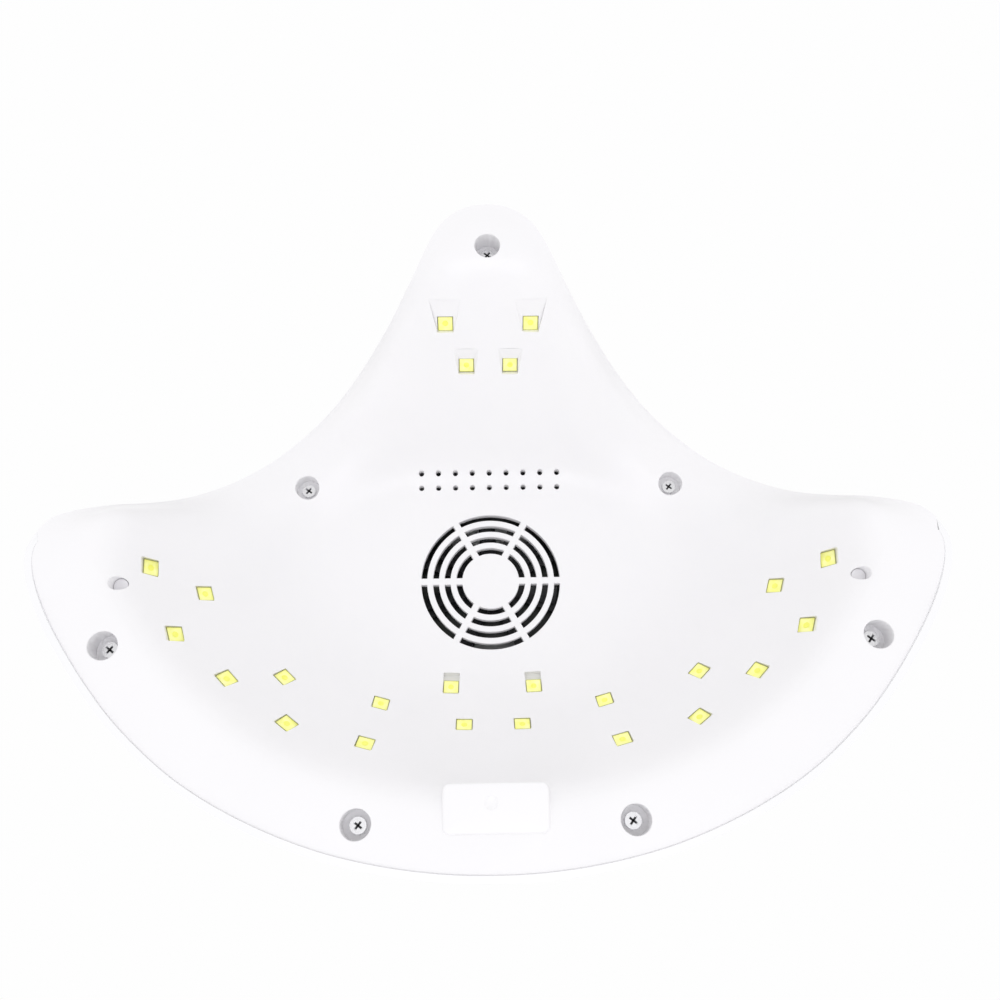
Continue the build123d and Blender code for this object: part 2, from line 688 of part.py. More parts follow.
with BuildPart() as tact_switches:
    with BuildSketch(Plane.XY.offset(BOARD_TOP)):
        with Locations(*[(x, BUTTON_Y) for x in BUTTON_XS]):
            Rectangle(6.2, 6.2)
    extrude(amount=2.6)
    with BuildSketch(Plane.XY.offset(BOARD_TOP + 2.6)):
        with Locations(*[(x, BUTTON_Y) for x in BUTTON_XS]):
            Circle(1.7)
    extrude(amount=0.9)
tact_switches.part.label = "tact_switches"
export_step(tact_switches.part, "parts/tact_switches.step")

with BuildPart() as control_board:
    with BuildSketch(Plane.XY.offset(BOARD_Z)):
        with Locations((0, BOARD_Y)):
            RectangleRounded(BOARD_SIZE[0], BOARD_SIZE[1], 2.0)
        with Locations(*BOARD_POSTS):
            Circle(1.3, mode=Mode.SUBTRACT)
    extrude(amount=1.6)
control_board.part.label = "control_board"
export_step(control_board.part, "parts/control_board.step")

with BuildPart() as board_screws:
    with BuildSketch(Plane.XY.offset(BOARD_Z - 1.5)):
        with Locations(*BOARD_POSTS):
            Circle(2.3)
    extrude(amount=1.5)
    with BuildSketch(Plane.XY.offset(BOARD_Z)):
        with Locations(*BOARD_POSTS):
            Circle(1.05)
    extrude(amount=6.5)
    with BuildSketch(Plane.XY.offset(BOARD_Z - 1.5)):
        with Locations(*BOARD_POSTS):
            Rectangle(2.6, 0.6)
            Rectangle(0.6, 2.6)
    extrude(amount=0.8, mode=Mode.SUBTRACT)
board_screws.part.label = "board_screws"
export_step(board_screws.part, "parts/board_screws.step")

# ---------------------------------------------------------------- fan
FAN_TOP = FAN_Z + FAN_H
with BuildPart() as fan_frame:
    with BuildSketch(Plane.XY.offset(FAN_Z)):
        with Locations((0, FAN_Y)):
            RectangleRounded(FAN_SIZE, FAN_SIZE, 3.0)
            Circle(28.5, mode=Mode.SUBTRACT)
        with Locations(*FAN_HOLES):
            Circle(2.15, mode=Mode.SUBTRACT)
    extrude(amount=FAN_H)
    with BuildSketch(Plane.XY.offset(FAN_TOP - 1.6)):
        with Locations((0, FAN_Y)):
            for a in (20, 65, 110, 155):
                Rectangle(58, 2.6, rotation=a)
            Circle(12.5)
    extrude(amount=1.6)
    with BuildSketch(Plane.XY.offset(FAN_TOP)):
        with Locations((0, FAN_Y)):
            Circle(1.56)
    extrude(amount=-1.6, mode=Mode.SUBTRACT)
fan_frame.part.label = "fan_frame"
export_step(fan_frame.part, "parts/fan_frame.step")

with BuildPart() as fan_rotor:
    with Locations((0, FAN_Y, FAN_Z + 3.6)):
        with PolarLocations(19.0, 7, start_angle=10):
            Box(18.0, 7.4, 1.0, rotation=(32, 0, 0))
    with BuildSketch(Plane.XY.offset(FAN_Z)):
        with Locations((0, FAN_Y)):
            Circle(27.4)
    extrude(amount=9, mode=Mode.INTERSECT)
    with BuildSketch(Plane.XY.offset(FAN_Z + 1.0)):
        with Locations((0, FAN_Y)):
            Circle(11.0)
    extrude(amount=4.8)
    with BuildSketch(Plane.XY.offset(FAN_Z + 5.8)):
        with Locations((0, FAN_Y)):
            Circle(1.5)
    extrude(amount=2.0)
fan_rotor.part.label = "fan_rotor"
export_step(fan_rotor.part, "parts/fan_rotor.step")

with BuildPart() as fan_screws:
    with BuildSketch(Plane.XY.offset(FAN_TOP)):
        with Locations(*FAN_HOLES):
            Circle(2.9)
    extrude(amount=1.7)
    with BuildSketch(Plane.XY.offset(72.8)):
        with Locations(*FAN_HOLES):
            Circle(1.2)
    extrude(amount=FAN_TOP - 72.8)
    with BuildSketch(Plane.XY.offset(FAN_TOP + 1.7)):
        with Locations(*FAN_HOLES):
            Rectangle(3.2, 0.8)
            Rectangle(0.8, 3.2)
    extrude(amount=-0.9, mode=Mode.SUBTRACT)
fan_screws.part.label = "fan_screws"
export_step(fan_screws.part, "parts/fan_screws.step")


# ---------------------------------------------------------------- LEDs
def tiles(keys):
    """Square boards behind the windows of the given LEDs."""
    with BuildPart() as t:
        for key in keys:
            plane, back = LED_PLANES[key][:2]
            with BuildSketch(plane.offset(back + LED_H)):
                with Locations((0, -3.4 if key[0] == "K" else 0)):
                    Rectangle(TILE, TILE + (6.4 if key[0] == "K" else 0))
            extrude(amount=BOARD_T)
    return t.part


with BuildPart() as led_board_nose:
    add(tiles(["Ar", "Al", "Br", "Bl"]))
led_board_nose.part.label = "led_board_nose"
export_step(led_board_nose.part, "parts/led_board_nose.step")

with BuildPart() as led_board_right:
    add(tiles([k + "r" for k in "CDEFGH"]))
led_board_right.part.label = "led_board_right"
export_step(led_board_right.part, "parts/led_board_right.step")

with BuildPart() as led_board_left:
    add(tiles([k + "l" for k in "CDEFGH"]))
led_board_left.part.label = "led_board_left"
export_step(led_board_left.part, "parts/led_board_left.step")

with BuildPart() as led_board_rear:
    add(tiles([k + s for k in "IJKL" for s in "rl"]))
led_board_rear.part.label = "led_board_rear"
export_step(led_board_rear.part, "parts/led_board_rear.step")

with BuildPart() as led_packages:
    for key, (plane, back, start, aim) in LED_PLANES.items():
        with BuildSketch(plane.offset(back)):
            Rectangle(LED_SIZE, LED_SIZE)
            Rectangle(LED_SIZE - 0.4, LED_SIZE - 0.4, mode=Mode.SUBTRACT)
        extrude(amount=0.5)
        with BuildSketch(plane.offset(back + 0.5)):
            Rectangle(LED_SIZE, LED_SIZE)
        extrude(amount=LED_H - 0.5)
led_packages.part.label = "led_packages"
export_step(led_packages.part, "parts/led_packages.step")

with BuildPart() as led_phosphors:
    for key, (plane, back, start, aim) in LED_PLANES.items():
        with BuildSketch(plane.offset(back + 0.1)):
            Rectangle(LED_SIZE - 0.4, LED_SIZE - 0.4)
        extrude(amount=0.4)
led_phosphors.part.label = "led_phosphors"
export_step(led_phosphors.part, "parts/led_phosphors.step")

# ---------------------------------------------------------------- fasteners
with BuildPart() as liner_screws:
    for (x, y, zf) in SCREW_FLOORS:
        with BuildSketch(Plane.XY.offset(zf - SCREW_HEAD_H)):
            with Locations((x, y)):
                Circle(SCREW_HEAD_D / 2)
        extrude(amount=SCREW_HEAD_H)
        with BuildSketch(Plane.XY.offset(zf)):
            with Locations((x, y)):
                Circle(SCREW_D / 2 - 0.05)
        extrude(amount=10.0)
        with BuildSketch(Plane.XY.offset(zf - SCREW_HEAD_H)):
            with Locations((x, y)):
                Rectangle(3.2, 0.75, rotation=38)
                Rectangle(0.75, 3.2, rotation=38)
        extrude(amount=1.1, mode=Mode.SUBTRACT)
liner_screws.part.label = "liner_screws"
export_step(liner_screws.part, "parts/liner_screws.step")

# ---------------------------------------------------------------- driver
with BuildPart() as driver_board:
    with BuildSketch(Plane.XY.offset(DRIVER_Z)):
        with Locations(DRIVER_XY):
            Rectangle(*DRIVER_SIZE)
        with Locations(*DRIVER_POSTS):
            Circle(1.2, mode=Mode.SUBTRACT)
    extrude(amount=1.6)
driver_board.part.label = "driver_board"
export_step(driver_board.part, "parts/driver_board.step")

with BuildPart() as driver_screws:
    with BuildSketch(Plane.XY.offset(DRIVER_Z + 1.6)):
        with Locations(*DRIVER_POSTS):
            Circle(2.2)
    extrude(amount=1.4)
    with BuildSketch(Plane.XY.offset(DRIVER_Z - 4.0)):
        with Locations(*DRIVER_POSTS):
            Circle(0.95)
    extrude(amount=5.6)
    with BuildSketch(Plane.XY.offset(DRIVER_Z + 3.0)):
        with Locations(*DRIVER_POSTS):
            Rectangle(2.4, 0.6)
            Rectangle(0.6, 2.4)
    extrude(amount=-0.7, mode=Mode.SUBTRACT)
driver_screws.part.label = "driver_screws"
export_step(driver_screws.part, "parts/driver_screws.step")

with BuildPart() as driver_inductor:
    with BuildSketch(Plane.XY.offset(DRIVER_Z + 1.6)):
        with Locations((-52, -1)):
            RectangleRounded(10, 10, 2.5)
    extrude(amount=4.6)
    with BuildSketch(Plane.XY.offset(DRIVER_Z + 6.2)):
        with Locations((-52, -1)):
            Circle(3.6)
            Circle(2.6, mode=Mode.SUBTRACT)
    extrude(amount=-0.4, mode=Mode.SUBTRACT)
driver_inductor.part.label = "driver_inductor"
export_step(driver_inductor.part, "parts/driver_inductor.step")

with BuildPart() as driver_capacitors:
    with BuildSketch(Plane.XY.offset(DRIVER_Z + 1.6)):
        with Locations((-58, 12), (-49.5, 12)):
            Circle(3.15)
    extrude(amount=5.4)
    fillet(driver_capacitors.edges().group_by(Axis.Z)[-1], 0.5)
driver_capacitors.part.label = "driver_capacitors"
export_step(driver_capacitors.part, "parts/driver_capacitors.step")

with BuildPart() as driver_chips:
    with BuildSketch(Plane.XY.offset(DRIVER_Z + 1.6)):
        with Locations((-45, 21), (-56, 22)):
            Rectangle(5, 4)
    extrude(amount=1.5)
driver_chips.part.label = "driver_chips"
export_step(driver_chips.part, "parts/driver_chips.step")

# ---------------------------------------------------------------- hand sensors
with BuildPart() as ir_window_right:
    with BuildSketch(Plane.XY.offset(IR_TOP)):
        with Locations(IR[0]):
            Circle(2.4)
    extrude(amount=-2.5)
ir_window_right.part.label = "ir_window_right"
export_step(ir_window_right.part, "parts/ir_window_right.step")

with BuildPart() as ir_window_left:
    with BuildSketch(Plane.XY.offset(IR_TOP)):
        with Locations(IR[1]):
            Circle(2.4)
    extrude(amount=-2.5)
ir_window_left.part.label = "ir_window_left"
export_step(ir_window_left.part, "parts/ir_window_left.step")

# ---------------------------------------------------------------- power inlet
with BuildPart() as dc_jack:
    with BuildSketch(Plane.XZ.offset(-106)):
        with Locations((0, JACK_Z)):
            RectangleRounded(11, 11, 0.8)
    extrude(amount=-12)
    with BuildSketch(Plane.XZ.offset(-118)):
        with Locations((0, JACK_Z)):
            Circle(4.0)
    extrude(amount=-5.1)
    with BuildSketch(Plane.XZ.offset(-123.1)):
        with Locations((0, JACK_Z)):
            Circle(JACK_BORE_D / 2)
    extrude(amount=13.0, mode=Mode.SUBTRACT)
dc_jack.part.label = "dc_jack"
export_step(dc_jack.part, "parts/dc_jack.step")

with BuildPart() as jack_pin:
    with BuildSketch(Plane.XZ.offset(-110.1)):
        with Locations((0, JACK_Z)):
            Circle(1.0)
    extrude(amount=-11.4)
    fillet(jack_pin.edges().group_by(Axis.Y)[-1], 0.4)
jack_pin.part.label = "jack_pin"
export_step(jack_pin.part, "parts/jack_pin.step")

with BuildPart() as jack_nut:
    with BuildSketch(Plane.XZ.offset(-121.9)):
        with Locations((0, JACK_Z)):
            RegularPolygon(5.6, 6, major_radius=False)
            Circle(4.05, mode=Mode.SUBTRACT)
    extrude(amount=-1.2)
jack_nut.part.label = "jack_nut"
export_step(jack_nut.part, "parts/jack_nut.step")


# ---------------------------------------------------------------- leads
def over(x, y, gap):
    """A point behind the liner, at a gap measured square to its wall."""
    e = 1.5
    gx = (liner_z(x + e, y) - liner_z(x - e, y)) / (2 * e)
    gy = (liner_z(x, y + e) - liner_z(x, y - e)) / (2 * e)
    s = math.sqrt(1 + gx * gx + gy * gy)
    return (x, y, liner_z(x, y) + LINER_T + 1.0 + gap * s)


LEAD = [(-3.0, 105.2, 15.0), (-9.0, 99.0, 19.0)] + [
    over(x, y, 2.6) for x, y in ((-20, 86), (-27, 75), (-28.5, 64), (-29.5, 53), (-33, 44))] + [
    (-44.0, 36.5, 81.0), (-52.0, 30.0, 79.9)]
with BuildPart() as power_lead:
    with BuildLine() as lead_path:
        Spline(*LEAD)
    with BuildSketch(Plane(origin=lead_path.line @ 0, z_dir=lead_path.line % 0)):
        Circle(1.1)
    sweep()
power_lead.part.label = "power_lead"
export_step(power_lead.part, "parts/power_lead.step")

with BuildPart() as fan_lead:
    with BuildLine() as fan_path:
        Spline((-30.2, 3.0, 79.6), (-36.0, 3.0, 80.6), (-43.0, 3.0, 79.5))
    with BuildSketch(Plane(origin=fan_path.line @ 0, z_dir=fan_path.line % 0)):
        Circle(0.8)
    sweep()
fan_lead.part.label = "fan_lead"
export_step(fan_lead.part, "parts/fan_lead.step")
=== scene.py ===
import bpy
import json
import math
import numpy as np
from mathutils import Matrix, Vector
from mathutils.geometry import delaunay_2d_cdt

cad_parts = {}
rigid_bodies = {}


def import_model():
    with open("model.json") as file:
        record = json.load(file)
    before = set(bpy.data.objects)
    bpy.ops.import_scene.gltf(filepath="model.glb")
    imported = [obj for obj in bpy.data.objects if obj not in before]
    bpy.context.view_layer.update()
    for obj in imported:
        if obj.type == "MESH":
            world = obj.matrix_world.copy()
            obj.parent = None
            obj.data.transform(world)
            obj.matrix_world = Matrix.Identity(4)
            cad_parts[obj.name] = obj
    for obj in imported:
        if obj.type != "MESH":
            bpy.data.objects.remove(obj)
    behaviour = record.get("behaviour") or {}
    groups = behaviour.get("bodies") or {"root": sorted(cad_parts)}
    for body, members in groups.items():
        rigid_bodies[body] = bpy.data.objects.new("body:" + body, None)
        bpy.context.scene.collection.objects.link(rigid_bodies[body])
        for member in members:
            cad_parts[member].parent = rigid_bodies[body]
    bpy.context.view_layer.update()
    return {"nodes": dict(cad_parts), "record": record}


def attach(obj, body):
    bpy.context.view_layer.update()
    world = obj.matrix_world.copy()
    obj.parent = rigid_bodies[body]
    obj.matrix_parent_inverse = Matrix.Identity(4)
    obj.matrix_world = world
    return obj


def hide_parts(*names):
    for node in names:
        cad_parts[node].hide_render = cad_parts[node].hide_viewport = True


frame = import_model()
MM = 0.001

# ------------------------------------------------------------------ the form
HEIGHT, CEILING_Z, FOOT_SLOPE, FOOT_Y = 97.2, 71.0, 50.0, -96.5
FLANGE_W, WALL_RUN, LIP_W, LIP_RISE, LIP_EDGE = 24.0, 62.0, (12.0, 24.0), 5.0, 0.8
FAN_Y, SEAM, CY = 9.3, 2.45, 10.0
FRONT = [
    (0.0, -123.2, 4.0), (6.0, -122.4, 4.0), (11.5, -120.0, 4.0), (16.2, -116.2, 4.0),
    (20.0, -111.2, 4.6), (23.2, -105.6, 6.4), (26.2, -100.2, 9.4), (29.6, -95.2, 14.8),
    (33.8, -90.4, 22.4), (39.5, -84.6, 33.1), (46.5, -78.9, 44.3), (53.5, -73.4, 53.2),
    (60.0, -67.8, 59.5), (66.5, -61.9, 63.6), (73.0, -56.4, 66.3), (79.5, -51.3, 68.0),
    (85.5, -46.8, 68.9), (91.5, -42.4, 69.0), (97.5, -38.1, 68.0), (103.0, -34.0, 66.0),
    (108.0, -30.1, 63.0), (113.0, -26.0, 58.8), (117.5, -22.1, 54.0), (122.0, -18.2, 48.0),
    (126.0, -14.8, 42.0), (129.5, -11.9, 36.2), (133.0, -9.2, 30.0), (136.5, -6.7, 23.8),
    (140.0, -4.4, 17.8), (143.5, -2.2, 12.3), (147.0, 0.2, 7.7), (150.5, 3.1, 4.0),
    (154.0, 8.2, 1.2),
]
REAR = [
    (156.7, 15.0), (156.4, 22.0), (153.7, 30.5), (148.7, 40.5), (142.0, 51.0),
    (134.0, 62.0), (124.6, 73.2), (114.6, 82.9), (104.4, 91.3), (95.0, 97.6),
    (86.0, 102.7), (77.0, 107.1), (67.0, 111.3), (55.5, 115.3), (44.5, 118.2),
    (34.0, 120.3), (24.0, 121.8), (12.0, 122.9), (0.0, 123.2),
]
LEVELS = [
    (0.0, 1.000, 1.000), (10.0, 0.997, 0.996), (25.0, 0.988, 0.985), (40.0, 0.974, 0.966),
    (52.0, 0.955, 0.944), (62.0, 0.932, 0.916), (72.0, 0.895, 0.872), (81.0, 0.840, 0.812),
    (88.0, 0.765, 0.735), (93.5, 0.665, 0.632), (96.8, 0.550, 0.515), (HEIGHT, 0.430, 0.400),
]


def level_at(z):
    for (z0, fx0, fy0), (z1, fx1, fy1) in zip(LEVELS, LEVELS[1:]):
        if z <= z1:
            t = (z - z0) / (z1 - z0)
            return fx0 + t * (fx1 - fx0), fy0 + t * (fy1 - fy0)
    return LEVELS[-1][1:]


def catmull(p, n, closed):
    """A smooth curve through the points, n pieces to each."""
    p = np.asarray(p, float)
    m = len(p)
    out = []
    for i in range(m if closed else m - 1):
        a, b, c, d = (p[(i + k) % m] if closed else p[min(max(i + k, 0), m - 1)] for k in (-1, 0, 1, 2))
        for j in range(n):
            t = j / n
            out.append(0.5 * (2 * b + (c - a) * t + (2 * a - 5 * b + 4 * c - d) * t * t
                              + (3 * b - a - 3 * c + d) * t ** 3))
    if not closed:
        out.append(p[-1])
    return np.array(out)


half = []
for x, y, z in FRONT:
    fx, fy = level_at(z)
    half.append((x / fx, CY + (y - CY) / fy, z))
half += [(x, y, 0.0) for x, y in REAR]
BASE = catmull(half + [(-x, y, z) for x, y, z in half[-2:0:-1]], 8, True)
BASE[:, 0] *= 0.9986
BASE[:, 1] = CY + (BASE[:, 1] - CY) * 0.9995


def loop_normals(p):
    t = np.roll(p[:, :2], -1, 0) - np.roll(p[:, :2], 1, 0)
    t /= np.linalg.norm(t, axis=1)[:, None]
    return np.stack([-t[:, 1], t[:, 0]], 1)          # inwards


def resample(p, step):
    s = np.concatenate([[0], np.cumsum(np.linalg.norm(np.diff(p[:, :2], axis=0), axis=1))])
    u = np.linspace(0, s[-1], max(int(s[-1] / step), 2) + 1)
    return np.stack([np.interp(u, s, p[:, k]) for k in range(p.shape[1])], 1)


n_front = (len(FRONT) - 1) * 8
inner = BASE[:, :2] + loop_normals(BASE) * SEAM
REAR_DENSE = resample(inner[n_front: len(BASE) - n_front + 1], 0.8)
front_half = catmull(FRONT, 8, False)
left_half = front_half[:0:-1] * [-1, 1, 1]
FRONT_DENSE = resample(np.concatenate([left_half, front_half]), 0.8)


def nearest(line, x, y):
    d = np.empty(len(x))
    k = np.empty(len(x), int)
    for i in range(0, len(x), 4000):
        q = (x[i:i + 4000, None] - line[None, :, 0]) ** 2 + (y[i:i + 4000, None] - line[None, :, 1]) ** 2
        k[i:i + 4000] = q.argmin(1)
        d[i:i + 4000] = np.sqrt(q.min(1))
    return d, k


def smoothstep(a, b, x):
    t = np.clip((x - a) / (b - a), 0, 1)
    return t * t * (3 - 2 * t)


def liner_z(x, y):
    """Height of the liner's underside."""
    x, y = np.abs(np.atleast_1d(np.asarray(x, float))), np.atleast_1d(np.asarray(y, float))
    d, _ = nearest(REAR_DENSE, x, y)
    u = np.clip((d - FLANGE_W) / WALL_RUN, 0, 1)
    rear = np.where(d <= FLANGE_W, 0.8 + 2.2 * (d / FLANGE_W) ** 1.5,
                    3.0 + (CEILING_Z - 3.0) * np.sin(math.pi / 2 * u) ** 0.85)
    a = (y - FOOT_Y) * math.tan(math.radians(FOOT_SLOPE)) / 2.2
    lo = 2.2 * np.logaddexp(0, a)
    nose = CEILING_Z - 4.0 * np.logaddexp(0, (CEILING_Z - lo) / 4.0)
    inside = CEILING_Z - np.hypot(CEILING_Z - rear, CEILING_Z - nose)
    d, k = nearest(FRONT_DENSE, x, y)
    edge = FRONT_DENSE[k, 2]
    lip = LIP_W[0] + (LIP_W[1] - LIP_W[0]) * smoothstep(35, 62, edge)
    low = np.minimum(inside, np.maximum(edge - LIP_RISE, 0))
    t = smoothstep(0.6 * lip, lip + 16, d)
    z = low + (inside - low) * t
    z = np.where(d < lip, z + (edge - LIP_EDGE - z) * np.clip(1 - d / lip, 0, 1) ** 2, z)
    return np.maximum(z, 0.0)


# the same surface with its creases rounded, held on a 1 mm grid
NX, NY, X0, Y0 = 331, 261, -165.0, -130.0
grid_x, grid_y = np.meshgrid(X0 + np.arange(NX), Y0 + np.arange(NY))
GZ = liner_z(grid_x.ravel(), grid_y.ravel()).reshape(NY, NX)


def soften(g, sigma):
    r = int(3 * sigma) + 1
    k = np.exp(-0.5 * (np.arange(-r, r + 1) / sigma) ** 2)
    k /= k.sum()
    for axis in (0, 1):
        pad = [(0, 0), (0, 0)]
        pad[axis] = (r, r)
        e = np.pad(g, pad, mode="edge")
        g = sum(k[i] * (e[i:i + g.shape[0]] if axis == 0 else e[:, i:i + g.shape[1]]) for i in range(2 * r + 1))
    return g


GN = soften(GZ, 3.4)
GN = 0.5 * (GN + GN[:, ::-1])
GZ = soften(GZ, 2.2)
GZ = 0.5 * (GZ + GZ[:, ::-1])
GDY, GDX = np.gradient(GN)


def sample(g, x, y):
    u = np.clip(np.asarray(x, float) - X0, 0, NX - 1.001)
    v = np.clip(np.asarray(y, float) - Y0, 0, NY - 1.001)
    i, j = u.astype(int), v.astype(int)
    a, b = u - i, v - j
    return (g[j, i] * (1 - a) + g[j, i + 1] * a) * (1 - b) + (g[j + 1, i] * (1 - a) + g[j + 1, i + 1] * a) * b


def surf(x, y):
    return sample(GZ, x, y)


def normals_at(x, y):
    n = np.stack([sample(GDX, x, y), sample(GDY, x, y), -np.ones(len(x))], 1)
    return n / np.linalg.norm(n, axis=1)[:, None]


# ------------------------------------------------------------------ holes
LED_SIZE, LED_H, WINDOW, LED_BACK, LEAN = 5.8, 1.6, 6.2, 2.0, 0.6 / 390
LEDS = {
    "A": (16.6, -79.1, 53.0, 90.0, 0.0), "B": (8.7, -68.5, 53.0, 90.0, 0.0),
    "C": (121.5, 16.0, 47.0, -168.0, 10.0), "D": (106.8, 20.9, 42.0, -150.0, 14.0),
    "E": (109.7, 40.9, 46.0, -150.0, 14.0), "F": (92.2, 55.6, 44.0, -132.0, 6.0),
    "G": (76.2, 52.0, 40.0, -125.0, 12.0), "H": (70.6, 71.2, 45.0, -121.0, 10.0),
    "I": (41.8, 60.6, 40.0, -114.0, -12.0), "J": (44.6, 77.5, 44.0, -107.0, -3.0),
    "K": (16.0, 53.0, 26.0, -92.0, 0.0), "L": (10.7, 69.3, 42.0, -91.0, 0.0),
}
SCREWS = [(0.0, -103.0, 8.8), (127.9, 48.1, 8.8), (-127.9, 48.1, 8.8), (43.6, 105.3, 8.8),
          (-43.6, 105.3, 8.8), (75.4, -30.1, 6.2), (-75.4, -30.1, 6.2)]
IR = [(126.6, 26.1), (-126.6, 26.1)]
SOFT = 0.22        # rounding of the hole edges


class Plane:
    def __init__(self, o, x, z):
        self.o = np.array(o, float)
        self.x = np.array(x, float) / np.linalg.norm(x)
        self.z = np.array(z, float) / np.linalg.norm(z)
        self.y = np.cross(self.z, self.x)

    def at(self, p, h=0.0):
        p = np.asarray(p, float)
        return self.o + p[:, :1] * self.x + p[:, 1:2] * self.y + np.reshape(h, (-1, 1)) * self.z

    def drop(self, p):
        """Heights along z at which these local points meet the liner."""
        h = np.zeros(len(p))
        for _ in range(12):
            q = self.at(p, h)
            h = h + (surf(q[:, 0], q[:, 1]) - q[:, 2]) * self.z[2]
        return h


def led_plane(key, side):
    """Plane of an LED and the direction in which its opening is cut."""
    x, y, tilt, az, turn = LEDS[key]
    a, c, t = math.radians(tilt), math.radians(az), math.radians(turn)
    ux, uy = math.cos(c), math.sin(c)
    ex = np.array([-uy, ux, 0.0])
    ez = np.array([-ux * math.sin(a), -uy * math.sin(a), math.cos(a)])
    ey = np.cross(ez, ex)
    fx = ex * math.cos(t) - ey * math.sin(t)
    fy = ex * math.sin(t) + ey * math.cos(t)
    z = float(liner_z(x, y)[0])
    o = np.array([x, y, z])
    if key not in "AB":
        far = 6.5 if key == "K" else 3.1
        i, j = np.meshgrid([-3.1, -1.55, 0, 1.55, 3.1], [-far, -far / 2, 0, 1.55, 3.1])
        q = o + i.reshape(-1, 1) * fx + j.reshape(-1, 1) * fy
        o[2] += 0.4 - (q[:, 2] - liner_z(q[:, 0], q[:, 1])).min()
        o -= LED_BACK * ez
    m = np.array([side, 1, 1])
    return (Plane(o * m, (fx[0], side * fx[1], side * fx[2]), ez * m),
            np.array([-side * x * LEAN, (116.0 - y) * LEAN, -1.0]))


def dense_loop(p, step=0.9):
    p = np.asarray(p, float)
    return resample(np.concatenate([p, p[:1]]), step)[:-1]


def ring(r, n, cx=0.0, cy=0.0):
    a = np.arange(n) * 2 * math.pi / n
    return np.stack([cx + r * np.cos(a), cy + r * np.sin(a)], 1)


def grow(p, c):
    """A counterclockwise loop moved outwards."""
    return p - loop_normals(p) * c


holes = []     # (plane, nominal loop, depth of the wall behind the surface or a flat end height, kind)
flat = Plane((0, 0, 0), (1, 0, 0), (0, 0, 1))
for key in LEDS:
    for side in (1, -1):
        plane, aim = led_plane(key, side)
        h = WINDOW / 2
        if key in "AB":
            w, e = ((12.4, 10.3) if key == "A" else (9.6, 7.8))
            loop = [(-h, -h), (h, -h), (w / 2, e), (-w / 2, e)]
            holes.append((plane, dense_loop(loop), ("plane", 1.5), "pocket", (LED_BACK, w, e)))
        else:
            up = 3.4 if key == "K" else 0.0
            loop = [(-h, -h - up), (h, -h - up), (h, h), (-h, h)]
            holes.append((plane, dense_loop(loop), ("plane", 0.0), "window", aim))
for x, y, depth in SCREWS:
    z = float(liner_z(x, y)[0])
    r = 4.85 if depth > 5 else 4.25
    holes.append((flat, ring(r, 40, x, y), ("plane", z + depth), "cup", (x, y, z + depth, r)))
for x, y in IR:
    holes.append((flat, ring(2.6, 28, x, y), ("plane", 11.0), "cup", (x, y, 11.0, 2.6)))
for r0, r1 in [(11.6, 14.0), (16.4, 18.8), (21.1, 23.5), (25.9, 28.25)]:
    for k in range(6):
        a0, a1 = math.radians(60 * k), math.radians(60 * k + 60)
        i0, i1 = math.asin(1.35 / r1), math.asin(1.35 / r0)
        n = max(int(r1 * 1.05 / 0.9), 6)
        out = [(r1 * math.cos(t), FAN_Y + r1 * math.sin(t)) for t in np.linspace(a0 + i0, a1 - i0, n)]
        out += [(r0 * math.cos(t), FAN_Y + r0 * math.sin(t)) for t in np.linspace(a1 - i1, a0 + i1, n)]
        holes.append((flat, np.array(out), ("deep", 2.8), "slot", None))
for i in range(-4, 5):
    for y in (-36.9, -31.1):
        holes.append((flat, ring(1.1, 16, 7.1 * i, y), ("deep", 2.8), "slot", None))


def mesh_object(name, verts, faces, smooth=True):
    me = bpy.data.meshes.new(name)
    me.from_pydata([tuple(v) for v in np.asarray(verts) * MM], [], [tuple(int(i) for i in f) for f in faces])
    me.validate()
    me.update()
    if smooth:
        me.shade_smooth()
    o = bpy.data.objects.new(name, me)
    bpy.context.scene.collection.objects.link(o)
    return o


def inside_poly(px, py, poly):
    x0, y0 = poly[:, 0], poly[:, 1]
    x1, y1 = np.roll(x0, -1), np.roll(y0, -1)
    res = np.zeros(len(px), bool)
    for i in range(0, len(px), 4000):
        X, Y = px[i:i + 4000, None], py[i:i + 4000, None]
        c = (y0 > Y) != (y1 > Y)
        with np.errstate(divide="ignore", invalid="ignore"):
            xi = (x1 - x0) * (Y - y0) / (y1 - y0) + x0
        res[i:i + 4000] = (np.sum(c & (X < xi), 1) % 2).astype(bool)
    return res


def mouth(plane, loop, aim):
    """Where the lines from an LED's plane along its opening meet the liner."""
    q = plane.at(loop, np.full(len(loop), LED_BACK))
    t = np.zeros(len(q))
    for _ in range(20):
        p = q + t[:, None] * aim
        t = t + (p[:, 2] - surf(p[:, 0], p[:, 1]))
        t = np.maximum(t, 0.0)
    return q, t


# boundary of the liner: seam along the rear arc, the outer edge along the arches
rear_edge = resample((BASE[:, :2] + loop_normals(BASE) * (SEAM + 0.13))[n_front + 4: len(BASE) - n_front - 3], 1.6)
front_edge = FRONT_DENSE[:, :2][::2]
fn = front_edge[1:] - front_edge[:-1]
fn = np.concatenate([fn, fn[-1:]])
fn = np.stack([-fn[:, 1], fn[:, 0]], 1) / np.linalg.norm(fn, axis=1)[:, None]
front_edge = front_edge + fn * 0.25
boundary = np.concatenate([front_edge, rear_edge])

